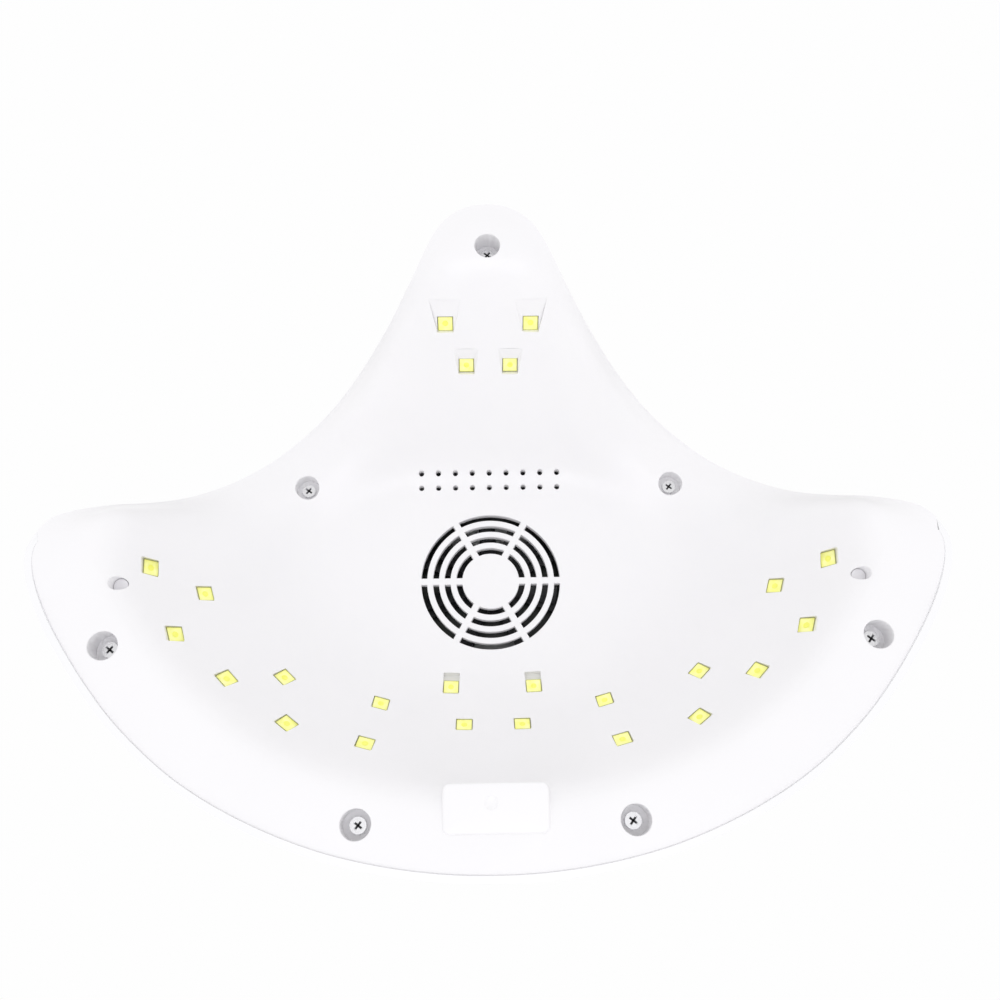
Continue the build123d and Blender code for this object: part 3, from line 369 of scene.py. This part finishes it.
loops, pts, edges = [boundary], [], []
for plane, loop, end, kind, extra in holes:
    wide = grow(loop, SOFT)
    if kind == "window":
        q, t = mouth(plane, wide, extra)
        q = q + t[:, None] * extra
    else:
        q = plane.at(wide, plane.drop(wide))
    loops.append(q[:, :2])
sizes = []
for lp in loops:
    s = len(pts)
    pts += [tuple(p) for p in lp]
    edges += [(s + i, s + (i + 1) % len(lp)) for i in range(len(lp))]
    sizes.append((s, len(lp)))
GRID = 1.9
gx, gy = np.meshgrid(np.arange(-158, 158, GRID), np.arange(-124, 124, GRID * 0.866))
gx = gx + (np.arange(gx.shape[0]) % 2)[:, None] * GRID / 2
gx, gy = gx.ravel(), gy.ravel()
keep = inside_poly(gx, gy, boundary)
gx, gy = gx[keep], gy[keep]
allp = np.array(pts)
d, _ = nearest(allp, gx, gy)
keep = d > 0.75
for lp in loops[1:]:
    lo, hi = lp.min(0), lp.max(0)
    near = (gx > lo[0]) & (gx < hi[0]) & (gy > lo[1]) & (gy < hi[1])
    idx = np.nonzero(near)[0]
    keep[idx[inside_poly(gx[idx], gy[idx], lp)]] = False
gx, gy = gx[keep], gy[keep]
rows = []
for off in (19.5, 21.3, 22.8, 24.1, 25.4, 26.9, 28.7, 30.6):
    q = resample(REAR_DENSE[12:-12] + loop_normals(np.concatenate([REAR_DENSE, REAR_DENSE[:1]]))[12:-13] * off, 1.9)
    rows.append(q)
rows = np.concatenate(rows)
dr, _ = nearest(REAR_DENSE, rows[:, 0], rows[:, 1])
db, _ = nearest(allp, rows[:, 0], rows[:, 1])
row_ok = (dr > 19.0) & (db > 0.8) & inside_poly(rows[:, 0], rows[:, 1], boundary)
for lp in loops[1:]:
    lo, hi = lp.min(0), lp.max(0)
    idx = np.nonzero((rows[:, 0] > lo[0]) & (rows[:, 0] < hi[0]) & (rows[:, 1] > lo[1]) & (rows[:, 1] < hi[1]))[0]
    row_ok[idx[inside_poly(rows[idx, 0], rows[idx, 1], lp)]] = False
rows = rows[row_ok]
dg, _ = nearest(rows, gx, gy)
gx, gy = gx[dg > 1.0], gy[dg > 1.0]
pts += list(zip(rows[:, 0], rows[:, 1])) + list(zip(gx, gy))
res = delaunay_2d_cdt([Vector(p) for p in pts], edges, [], 0, 1e-5)
V2 = np.array([tuple(v) for v in res[0]])
T = np.array([tuple(f) for f in res[2]])
c = V2[T].mean(1)
ok = inside_poly(c[:, 0], c[:, 1], boundary)
for lp in loops[1:]:
    lo, hi = lp.min(0), lp.max(0)
    idx = np.nonzero((c[:, 0] > lo[0]) & (c[:, 0] < hi[0]) & (c[:, 1] > lo[1]) & (c[:, 1] < hi[1]))[0]
    ok[idx[inside_poly(c[idx, 0], c[idx, 1], lp)]] = False
T = T[ok]
Z = surf(V2[:, 0], V2[:, 1])
S3 = np.column_stack([V2, Z])
N3 = normals_at(V2[:, 0], V2[:, 1])
# wind the triangles so that they face down, out of the liner
a, b, cc = S3[T[:, 0]], S3[T[:, 1]], S3[T[:, 2]]
flip = np.cross(b - a, cc - a)[:, 2] > 0
T[flip] = T[flip][:, ::-1]
face = mesh_object("liner_face", S3, T)
face.data.normals_split_custom_set_from_vertices([tuple(n) for n in N3])

# walls of the holes, cups, pockets and the outer rim
WV, WF = [], []


def add_rings(rings, reverse=False):
    s = len(WV)
    n = len(rings[0])
    for r in rings:
        WV.extend(r)
    for k in range(len(rings) - 1):
        for i in range(n):
            q = (s + k * n + i, s + k * n + (i + 1) % n, s + (k + 1) * n + (i + 1) % n, s + (k + 1) * n + i)
            WF.append(q[::-1] if reverse else q)


for plane, loop, end, kind, extra in holes:
    wide = grow(loop, SOFT)
    if kind == "window":
        q, t = mouth(plane, wide, extra)
        top = q + t[:, None] * extra
        q, t = mouth(plane, loop, extra)
        t = np.maximum(t - SOFT, 0.08)[:, None]
        add_rings([top, q + t * extra, q + (t - 0.06) * extra, q,
                   plane.at(loop, np.full(len(loop), LED_BACK + LED_H))], True)
        continue
    h0 = plane.drop(wide)
    h1 = plane.drop(loop) + SOFT
    top = plane.at(wide, h0)
    mid = plane.at(loop, h1)
    if end[0] == "deep":
        low = plane.at(loop, h1 + end[1])
    elif kind == "pocket":
        back, w, e = extra
        ends = plane.drop(np.array([(-w / 2, e), (w / 2, e)])) + 0.03
        far = ends[0] + (ends[1] - ends[0]) * (loop[:, 0] / w + 0.5)
        share = np.clip((loop[:, 1] - WINDOW / 2) / (e - WINDOW / 2), 0, 1)
        h1 = h1 - (SOFT - 0.02) * share
        mid = plane.at(loop, h1)
        low = plane.at(loop, np.maximum(1.5 + (far - 1.5) * share, h1 + 0.02))
    else:
        low = plane.at(loop, np.maximum(np.full(len(loop), end[1]), h1 + 0.02))
    half_way = plane.at(loop, h1 + (0.01 if kind == "pocket" else 0.05))
    add_rings([top, mid, half_way, low], True)
    if kind == "cup":
        x, y, zf, r = extra
        inner_ring = ring(min(1.7, r * 0.5), len(loop), x, y)
        add_rings([low, np.column_stack([inner_ring, np.full(len(loop), zf)])], True)
    if kind == "pocket":
        back, w, e = extra
        h = WINDOW / 2
        for poly in ([(-h, -h), (-h, h), (-w / 2, e)], [(h, -h), (w / 2, e), (h, h)],
                     [(-h, h), (h, h), (w / 2, e), (-w / 2, e)]):
            s = len(WV)
            WV.extend(plane.at(poly, [(ends[0] if q[0] < 0 else ends[1]) if q[1] > h + 0.1 else 1.5 for q in poly]))
            WF.append(tuple(range(s, s + len(poly)))[::-1])
        sq = dense_loop([(-h, -h), (h, -h), (h, h), (-h, h)])
        add_rings([plane.at(sq, np.full(len(sq), 1.5)), plane.at(sq, np.full(len(sq), back + LED_H))], True)
b3 = np.column_stack([boundary, surf(boundary[:, 0], boundary[:, 1])])
up = b3 + [0, 0, 1]
nb = loop_normals(boundary)
at_rear = (np.arange(len(boundary)) >= len(front_edge))[:, None]
edge_in = np.column_stack([boundary, b3[:, 2] + 0.16])
_, kb = nearest(BASE, boundary[:, 0], boundary[:, 1])
deep = np.column_stack([boundary + nb * np.where(at_rear, -0.45, 1.2),
                        np.where(at_rear[:, 0], b3[:, 2] + 0.16, np.maximum(b3[:, 2] + 2.2, BASE[kb, 2] + 1.6))])
add_rings([b3, edge_in, deep], True)
walls = mesh_object("liner_walls", WV, WF)

# the raised block in the middle of the rear rim
bv, bf = [], []


def rounded(w, d, r, n=6):
    out = []
    for cx, cy, a0 in ((w / 2 - r, d / 2 - r, 0), (-w / 2 + r, d / 2 - r, 90), (-w / 2 + r, -d / 2 + r, 180), (w / 2 - r, -d / 2 + r, 270)):
        for k in range(n + 1):
            a = math.radians(a0 + 90 * k / n)
            out.append((cx + r * math.cos(a), cy + r * math.sin(a)))
    return np.array(out)


bl = rounded(33.6, 15.6, 2.4)
prof = [(0.0, 7.0), (0.0, 1.9), (0.1, 1.5), (0.35, 1.2), (0.7, 1.04), (1.1, 1.0)]
rings = []
for inset, z in prof:
    q = rounded(33.6 - 2 * inset, 15.6 - 2 * inset, max(2.4 - inset, 0.5))
    rings.append(np.column_stack([q[:, 0], q[:, 1] + 101.2, np.full(len(q), z)]))
n = len(bl)
for r in rings:
    bv.extend(r)
for k in range(len(rings) - 1):
    for i in range(n):
        bf.append((k * n + i, k * n + (i + 1) % n, (k + 1) * n + (i + 1) % n, (k + 1) * n + i)[::-1])
# face of the block with a shallow dimple
m = len(bv)
dimple = [ring(r, n, -1.5, 99.5) for r in (2.3, 1.9, 1.2, 0.4)]
for q, z in zip(dimple, (1.0, 1.25, 1.45, 1.5)):
    bv.extend(np.column_stack([q, np.full(n, z)]))
last = (len(rings) - 1) * n
ang = np.arctan2(rings[-1][:, 1] - 99.5, rings[-1][:, 0] + 1.5)
shift = int(np.argmin(np.abs(ang)))
for i in range(n):
    a0, a1 = last + (i + shift) % n, last + (i + 1 + shift) % n
    bf.append((a0, a1, m + (i + 1) % n, m + i)[::-1])
for k in range(3):
    for i in range(n):
        bf.append((m + k * n + i, m + k * n + (i + 1) % n, m + (k + 1) * n + (i + 1) % n, m + (k + 1) * n + i)[::-1])
bf.append(tuple(m + 3 * n + i for i in range(n))[::-1])
block = mesh_object("rear_block", bv, bf)

walls.data.set_sharp_from_angle(angle=math.radians(38))
block.data.set_sharp_from_angle(angle=math.radians(14))


# ------------------------------------------------------------------ the dome
def spline(values):
    """Natural cubic through values at 0, 1, 2, ..."""
    v = np.asarray(values, float)
    n = len(v)
    A = np.zeros((n, n))
    r = np.zeros(n)
    A[0, 0] = A[-1, -1] = 1
    for i in range(1, n - 1):
        A[i, i - 1:i + 2] = (1, 4, 1)
        r[i] = 6 * (v[i - 1] - 2 * v[i] + v[i + 1])
    m = np.linalg.solve(A, r)

    def f(t):
        i = np.clip(t.astype(int), 0, n - 2)
        u = t - i
        return (v[i] * (1 - u) + v[i + 1] * u
                + ((1 - u) ** 3 - (1 - u)) * m[i] / 6 + (u ** 3 - u) * m[i + 1] / 6)
    return f


LZ, LX, LY = (spline([lv[k] for lv in LEVELS]) for k in range(3))
tt = np.linspace(0, len(LEVELS) - 1, 2000)
zt = np.maximum.accumulate(LZ(tt))
cols = BASE[::2]
tb = np.interp(np.maximum(cols[:, 2], 0.0), zt, tt)
TOP = len(LEVELS) - 1
share = np.concatenate([[0.0, 0.004], np.linspace(0.02, 1.0, 46)])
sv, sf = [], []
for q in share:
    t = tb + (TOP - tb) * q
    x = cols[:, 0] * LX(t)
    y = CY + (cols[:, 1] - CY) * LY(t)
    sv.extend(np.column_stack([x, y, np.minimum(LZ(t), HEIGHT)]))
nc = len(cols)
for k in range(len(share) - 1):
    for i in range(nc):
        sf.append((k * nc + i, k * nc + (i + 1) % nc, (k + 1) * nc + (i + 1) % nc, (k + 1) * nc + i))
sf.append(tuple(range((len(share) - 1) * nc, len(share) * nc)))
dome = mesh_object("shell_form", sv, sf)


def prism(points, z0, z1, axis="z"):
    """A closed prism from a counterclockwise loop."""
    n = len(points)
    if axis == "z":
        v = [(x, y, z0) for x, y in points] + [(x, y, z1) for x, y in points]
    else:      # loop in x, z; extruded along y
        v = [(x, z0, y) for x, y in points] + [(x, z1, y) for x, y in points]
    f = [tuple(range(n))[::-1], tuple(range(n, 2 * n))]
    f += [(i, (i + 1) % n, n + (i + 1) % n, n + i) for i in range(n)]
    if axis != "z":
        f = [q[::-1] for q in f]
    return v, f


def cutter(name, prisms):
    v, f = [], []
    for pv, pf in prisms:
        f += [tuple(i + len(v) for i in q) for q in pf]
        v += pv
    return mesh_object(name, v, f, False)


def slot_loop(cx, cy, length, width):
    a = np.linspace(0, math.pi, 9)
    r, h = width / 2, length / 2 - width / 2
    return ([(cx + r * math.cos(t), cy + h + r * math.sin(t)) for t in a]
            + [(cx + r * math.cos(t + math.pi), cy - h + r * math.sin(t + math.pi)) for t in a])


ell = [(46.15 * math.cos(t), 9.0 + 25.15 * math.sin(t)) for t in np.arange(96) * 2 * math.pi / 96]
first = [prism(ell, 96.0, 99.0)]
first += [prism(slot_loop(i * 7.5, 72.0 - 0.35 * abs(i) ** 1.6, 22.0 - 0.8 * abs(i), 2.6), 68.0, 99.5)
          for i in range(-5, 6)]
first += [prism([(x, z + 14.0) for x, z in rounded(13.0, 13.0, 2.0)], 121.9, 130.0, "y")]
second = [prism([tuple(p) for p in ring(6.3, 40, x, -1.5)], 90.0, 96.6) for x in (-24, -8, 8, 24)]
second += [prism([(-16, 12.5), (16, 12.5), (16, 24.5), (-16, 24.5)], 90.0, 96.6)]
second += [prism([tuple(p) for p in ring(4.1, 36, 0, 14.0)], 112.0, 123.0, "y")]
sol = dome.modifiers.new("wall", "SOLIDIFY")
sol.thickness = 2.3 * MM
sol.offset = -1.0
sol.use_even_offset = True
for k, prisms in enumerate((first, second)):
    c = cutter(f"cutter_{k}", prisms)
    m = dome.modifiers.new(f"cut_{k}", "BOOLEAN")
    m.operation, m.solver, m.object = "DIFFERENCE", "EXACT", c
dg = bpy.context.evaluated_depsgraph_get()
cut_mesh = bpy.data.meshes.new_from_object(dome.evaluated_get(dg))
dome.modifiers.clear()
dome.data = cut_mesh
for k in range(2):
    bpy.data.objects.remove(bpy.data.objects[f"cutter_{k}"])
for v in dome.data.vertices:
    v.co.z = max(v.co.z, 0.0)
dome.data.shade_smooth()
dome.data.set_sharp_from_angle(angle=math.radians(30))


# ------------------------------------------------------------------ materials
def plastic(name, base, dark, rough, bump=0.04, scale=900.0, coat=0.0, spec=0.5):
    m = bpy.data.materials.new(name)
    m.use_nodes = True
    nt = m.node_tree
    p = nt.nodes["Principled BSDF"]
    tc = nt.nodes.new("ShaderNodeTexCoord")
    big = nt.nodes.new("ShaderNodeTexNoise")
    big.inputs["Scale"].default_value = 26.0
    big.inputs["Detail"].default_value = 4.0
    nt.links.new(tc.outputs["Object"], big.inputs["Vector"])
    ramp = nt.nodes.new("ShaderNodeValToRGB")
    ramp.color_ramp.elements[0].position = 0.3
    ramp.color_ramp.elements[0].color = (*dark, 1)
    ramp.color_ramp.elements[1].position = 0.7
    ramp.color_ramp.elements[1].color = (*base, 1)
    nt.links.new(big.outputs["Fac"], ramp.inputs["Fac"])
    nt.links.new(ramp.outputs["Color"], p.inputs["Base Color"])
    fine = nt.nodes.new("ShaderNodeTexNoise")
    fine.inputs["Scale"].default_value = scale
    fine.inputs["Detail"].default_value = 2.0
    nt.links.new(tc.outputs["Object"], fine.inputs["Vector"])
    rr = nt.nodes.new("ShaderNodeMapRange")
    rr.inputs["To Min"].default_value = rough - 0.05
    rr.inputs["To Max"].default_value = rough + 0.05
    nt.links.new(fine.outputs["Fac"], rr.inputs["Value"])
    nt.links.new(rr.outputs["Result"], p.inputs["Roughness"])
    b = nt.nodes.new("ShaderNodeBump")
    b.inputs["Strength"].default_value = bump
    b.inputs["Distance"].default_value = 0.0004
    nt.links.new(fine.outputs["Fac"], b.inputs["Height"])
    nt.links.new(b.outputs["Normal"], p.inputs["Normal"])
    p.inputs["Coat Weight"].default_value = coat
    p.inputs["Coat Roughness"].default_value = 0.12
    p.inputs["Specular IOR Level"].default_value = spec
    return m


def metal(name, base, dark, rough):
    m = plastic(name, base, dark, rough, 0.03, 700.0)
    m.node_tree.nodes["Principled BSDF"].inputs["Metallic"].default_value = 1.0
    return m


MAT = {
    "shell_white": plastic("shell_white", (0.93, 0.93, 0.94), (0.915, 0.915, 0.93), 0.24, 0.02, 700, 0.35),
    "liner_white": plastic("liner_white", (0.924, 0.917, 0.930), (0.910, 0.904, 0.919), 0.34, 0.03, 800, 0.12),
    "panel_grey": plastic("panel_grey", (0.72, 0.73, 0.76), (0.68, 0.69, 0.72), 0.16, 0.01, 500, 0.5),
    "display_black": plastic("display_black", (0.012, 0.012, 0.015), (0.008, 0.008, 0.01), 0.08, 0.01, 500, 0.5),
    "button_white": plastic("button_white", (0.90, 0.90, 0.915), (0.88, 0.88, 0.90), 0.28, 0.02, 700, 0.3),
    # the board is near-black so that what shows through the fan slots reads dark: painted shade
    "board_dark": plastic("board_dark", (0.022, 0.026, 0.024), (0.014, 0.016, 0.015), 0.35, 0.05, 300),
    "board_white": plastic("board_white", (0.86, 0.86, 0.84), (0.82, 0.82, 0.79), 0.45, 0.05, 300),
    "led_body": plastic("led_body", (0.62, 0.63, 0.22), (0.50, 0.50, 0.18), 0.5, 0.05, 900),
    "steel": metal("steel", (0.80, 0.80, 0.81), (0.70, 0.70, 0.72), 0.28),
    "fan_black": plastic("fan_black", (0.022, 0.022, 0.026), (0.014, 0.014, 0.017), 0.4, 0.08, 600),
    "sensor_pale": plastic("sensor_pale", (0.80, 0.79, 0.81), (0.75, 0.74, 0.77), 0.25, 0.02, 600),
    "jack_black": plastic("jack_black", (0.03, 0.03, 0.032), (0.02, 0.02, 0.022), 0.4, 0.05, 600),
    "nickel": metal("nickel", (0.74, 0.72, 0.68), (0.66, 0.64, 0.60), 0.2),
    "brass": metal("brass", (0.80, 0.62, 0.28), (0.70, 0.52, 0.22), 0.25),
    "ferrite": plastic("ferrite", (0.08, 0.08, 0.085), (0.05, 0.05, 0.055), 0.7, 0.2, 400),
    "can": metal("can", (0.78, 0.79, 0.80), (0.70, 0.71, 0.73), 0.3),
    "lead_black": plastic("lead_black", (0.03, 0.03, 0.03), (0.02, 0.02, 0.02), 0.6, 0.08, 500),
}

# LED face: lemon phosphor, a little deeper in the middle, with a faint painted glow on the unlit LED
ph = plastic("phosphor", (1.0, 1.0, 0.50), (0.95, 0.96, 0.25), 0.42, 0.06, 1100)
# faint yellow emission on the unlit LED face: painted light
ph.node_tree.nodes["Principled BSDF"].inputs["Emission Color"].default_value = (1.0, 1.0, 0.30, 1)
ph.node_tree.nodes["Principled BSDF"].inputs["Emission Strength"].default_value = 0.10
ph.node_tree.nodes["Noise Texture"].inputs["Scale"].default_value = 380.0
MAT["phosphor"] = ph

record = frame["record"]
slot_of = {s["node"]: s["material_slot"] for s in record["subparts"]}
for name, o in frame["nodes"].items():
    o.data.materials.clear()
    o.data.materials.append(MAT[slot_of[name]])
    o.data.shade_smooth()
    o.data.set_sharp_from_angle(angle=math.radians(32))
for o in (face, walls, block):
    o.data.materials.append(MAT["liner_white"])
    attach(o, "lamp")
    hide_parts("inner_liner")
dome.data.materials.clear()
dome.data.materials.append(MAT["shell_white"])
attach(dome, "lamp")
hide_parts("outer_shell")

# dark sheets at the bottoms of the cross recesses in the screw heads: painted shade
xv, xf = [], []
for x, y, depth in SCREWS:
    z = float(liner_z(x, y)[0]) + depth - 1.7 + 0.5
    for w, d in ((1.35, 0.32), (0.32, 1.35)):
        m = len(xv)
        for i, j in ((-1, -1), (-1, 1), (1, 1), (1, -1)):
            a = math.radians(38)
            px, py = i * w, j * d
            xv.append((x + px * math.cos(a) - py * math.sin(a), y + px * math.sin(a) + py * math.cos(a), z))
        xf.append((m, m + 1, m + 2, m + 3))
recess = mesh_object("screw_recess_shade", xv, xf, False)
# near-black material on the recess bottoms stands in for the shade there: painted shade
recess.data.materials.append(MAT["fan_black"])
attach(recess, "lamp")

# low lens in the middle of each LED face, with a faint painted glow
core = plastic("phosphor_core", (0.95, 0.95, 0.20), (0.90, 0.90, 0.15), 0.35, 0.05, 1300)
core.node_tree.nodes["Noise Texture"].inputs["Scale"].default_value = 420.0
# faint yellow emission on the unlit lens: painted light
core.node_tree.nodes["Principled BSDF"].inputs["Emission Color"].default_value = (1.0, 1.0, 0.18, 1)
core.node_tree.nodes["Principled BSDF"].inputs["Emission Strength"].default_value = 0.06
lv3, lf3 = [], []
for key in LEDS:
    for side in (1, -1):
        plane, aim = led_plane(key, side)
        m = len(lv3)
        for r, h in ((1.15, 0.08), (1.0, 0.04), (0.65, 0.01), (0.2, 0.0)):
            lv3.extend(plane.at(ring(r, 20), np.full(20, LED_BACK + h)))
        for k in range(3):
            for i in range(20):
                a0, a1 = m + k * 20 + i, m + k * 20 + (i + 1) % 20
                lf3.append((a0, a1, a1 + 20, a0 + 20)[::-1])
        lf3.append(tuple(m + 60 + i for i in range(20))[::-1])
cores = mesh_object("led_lenses", lv3, lf3)
cores.data.materials.append(core)
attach(cores, "lamp")

# ------------------------------------------------------------------ camera
scene = bpy.context.scene


def rot(a, axis):
    return Matrix.Rotation(a, 3, axis)


M = rot(-0.0123, "Z") @ rot(-0.0183, "Y") @ rot(-0.3445, "X")
cam = bpy.data.cameras.new("camera")
cam.sensor_fit = "HORIZONTAL"
cam.sensor_width = 36.0
cam.lens = 36.0
cam.clip_start, cam.clip_end = 0.01, 20.0
co = bpy.data.objects.new("camera", cam)
scene.collection.objects.link(co)
R = Matrix((M[0], -M[1], -M[2])).transposed()
co.matrix_world = Matrix.Translation(Vector((-3.27, 116.0, -323.85)) * MM) @ R.to_4x4()
scene.camera = co

# ------------------------------------------------------------------ stage
w = bpy.data.worlds.new("world")
scene.world = w
w.use_nodes = True
nt = w.node_tree
bg = nt.nodes["Background"]
bg.inputs["Color"].default_value = (1.0, 0.997, 0.998, 1)
bg.inputs["Strength"].default_value = 0.985
seen = nt.nodes.new("ShaderNodeBackground")
seen.inputs["Color"].default_value = (0.991, 0.991, 0.991, 1)
lp = nt.nodes.new("ShaderNodeLightPath")
mix = nt.nodes.new("ShaderNodeMixShader")
# softer from above than from below, so that the dome keeps its shading
tc = nt.nodes.new("ShaderNodeTexCoord")
sx = nt.nodes.new("ShaderNodeSeparateXYZ")
nt.links.new(tc.outputs["Generated"], sx.inputs[0])
up_down = nt.nodes.new("ShaderNodeMapRange")
up_down.interpolation_type = "SMOOTHSTEP"
up_down.inputs["From Min"].default_value = -0.05
up_down.inputs["From Max"].default_value = 0.7
up_down.inputs["To Min"].default_value = 0.985
up_down.inputs["To Max"].default_value = 0.68
nt.links.new(sx.outputs["Z"], up_down.inputs["Value"])
nt.links.new(up_down.outputs["Result"], bg.inputs["Strength"])
nt.links.new(lp.outputs["Is Camera Ray"], mix.inputs[0])
nt.links.new(bg.outputs[0], mix.inputs[1])
nt.links.new(seen.outputs[0], mix.inputs[2])
nt.links.new(mix.outputs[0], nt.nodes["World Output"].inputs["Surface"])


def area(name, place, target, size, power, color=(1, 1, 1)):
    l = bpy.data.lights.new(name, "AREA")
    l.shape = "DISK"
    l.size = size
    l.energy = power
    l.color = color
    o = bpy.data.objects.new(name, l)
    scene.collection.objects.link(o)
    p, t = Vector(place), Vector(target)
    o.matrix_world = Matrix.Translation(p) @ (t - p).to_track_quat("-Z", "Y").to_matrix().to_4x4()
    o.visible_camera = False
    return o


area("below", (0.02, 0.35, -0.75), (0, 0.02, 0.03), 0.5, 0.7, (0.93, 0.93, 1.0))
area("key", (-0.7, -0.8, 1.0), (0, 0, 0.03), 1.2, 1.2)
area("rim", (0.9, 0.7, 0.7), (0, 0, 0.05), 0.9, 1.0)
area("top", (0.3, 0.3, 1.2), (0, 0, 0.09), 0.7, 3.2)

# table top, seen only from above
fm = bpy.data.materials.new("table_top")
fm.use_nodes = True
nt = fm.node_tree
p = nt.nodes["Principled BSDF"]
tc = nt.nodes.new("ShaderNodeTexCoord")
nz = nt.nodes.new("ShaderNodeTexNoise")
nz.inputs["Scale"].default_value = 40
nt.links.new(tc.outputs["Object"], nz.inputs["Vector"])
rp = nt.nodes.new("ShaderNodeValToRGB")
rp.color_ramp.elements[0].color = (0.82, 0.82, 0.83, 1)
rp.color_ramp.elements[1].color = (0.86, 0.86, 0.87, 1)
nt.links.new(nz.outputs["Fac"], rp.inputs["Fac"])
nt.links.new(rp.outputs["Color"], p.inputs["Base Color"])
p.inputs["Roughness"].default_value = 0.6
geo = nt.nodes.new("ShaderNodeNewGeometry")
lp = nt.nodes.new("ShaderNodeLightPath")
inv = nt.nodes.new("ShaderNodeMath")
inv.operation = "SUBTRACT"
inv.inputs[0].default_value = 1.0
nt.links.new(geo.outputs["Backfacing"], inv.inputs[1])
mul = nt.nodes.new("ShaderNodeMath")
mul.operation = "MULTIPLY"
nt.links.new(inv.outputs[0], mul.inputs[0])
nt.links.new(lp.outputs["Is Camera Ray"], mul.inputs[1])
# the table fades out with distance
far_len = nt.nodes.new("ShaderNodeVectorMath")
far_len.operation = "LENGTH"
nt.links.new(tc.outputs["Object"], far_len.inputs[0])
fade = nt.nodes.new("ShaderNodeMapRange")
fade.interpolation_type = "SMOOTHSTEP"
fade.inputs["From Min"].default_value = 0.3
fade.inputs["From Max"].default_value = 1.9
fade.inputs["To Min"].default_value = 1.0
fade.inputs["To Max"].default_value = 0.0
nt.links.new(far_len.outputs["Value"], fade.inputs["Value"])
near = nt.nodes.new("ShaderNodeMath")
near.operation = "MULTIPLY"
nt.links.new(mul.outputs[0], near.inputs[0])
nt.links.new(fade.outputs["Result"], near.inputs[1])
tr = nt.nodes.new("ShaderNodeBsdfTransparent")
mx = nt.nodes.new("ShaderNodeMixShader")
nt.links.new(near.outputs[0], mx.inputs[0])
nt.links.new(tr.outputs[0], mx.inputs[1])
nt.links.new(p.outputs[0], mx.inputs[2])
nt.links.new(mx.outputs[0], nt.nodes["Material Output"].inputs["Surface"])
fl = mesh_object("table_top", [(-3000, -3000, -0.3), (3000, -3000, -0.3), (3000, 3000, -0.3), (-3000, 3000, -0.3)], [(0, 1, 2, 3)], False)
fl.data.materials.append(fm)

scene.view_settings.view_transform = "Standard"
scene.view_settings.look = "None"
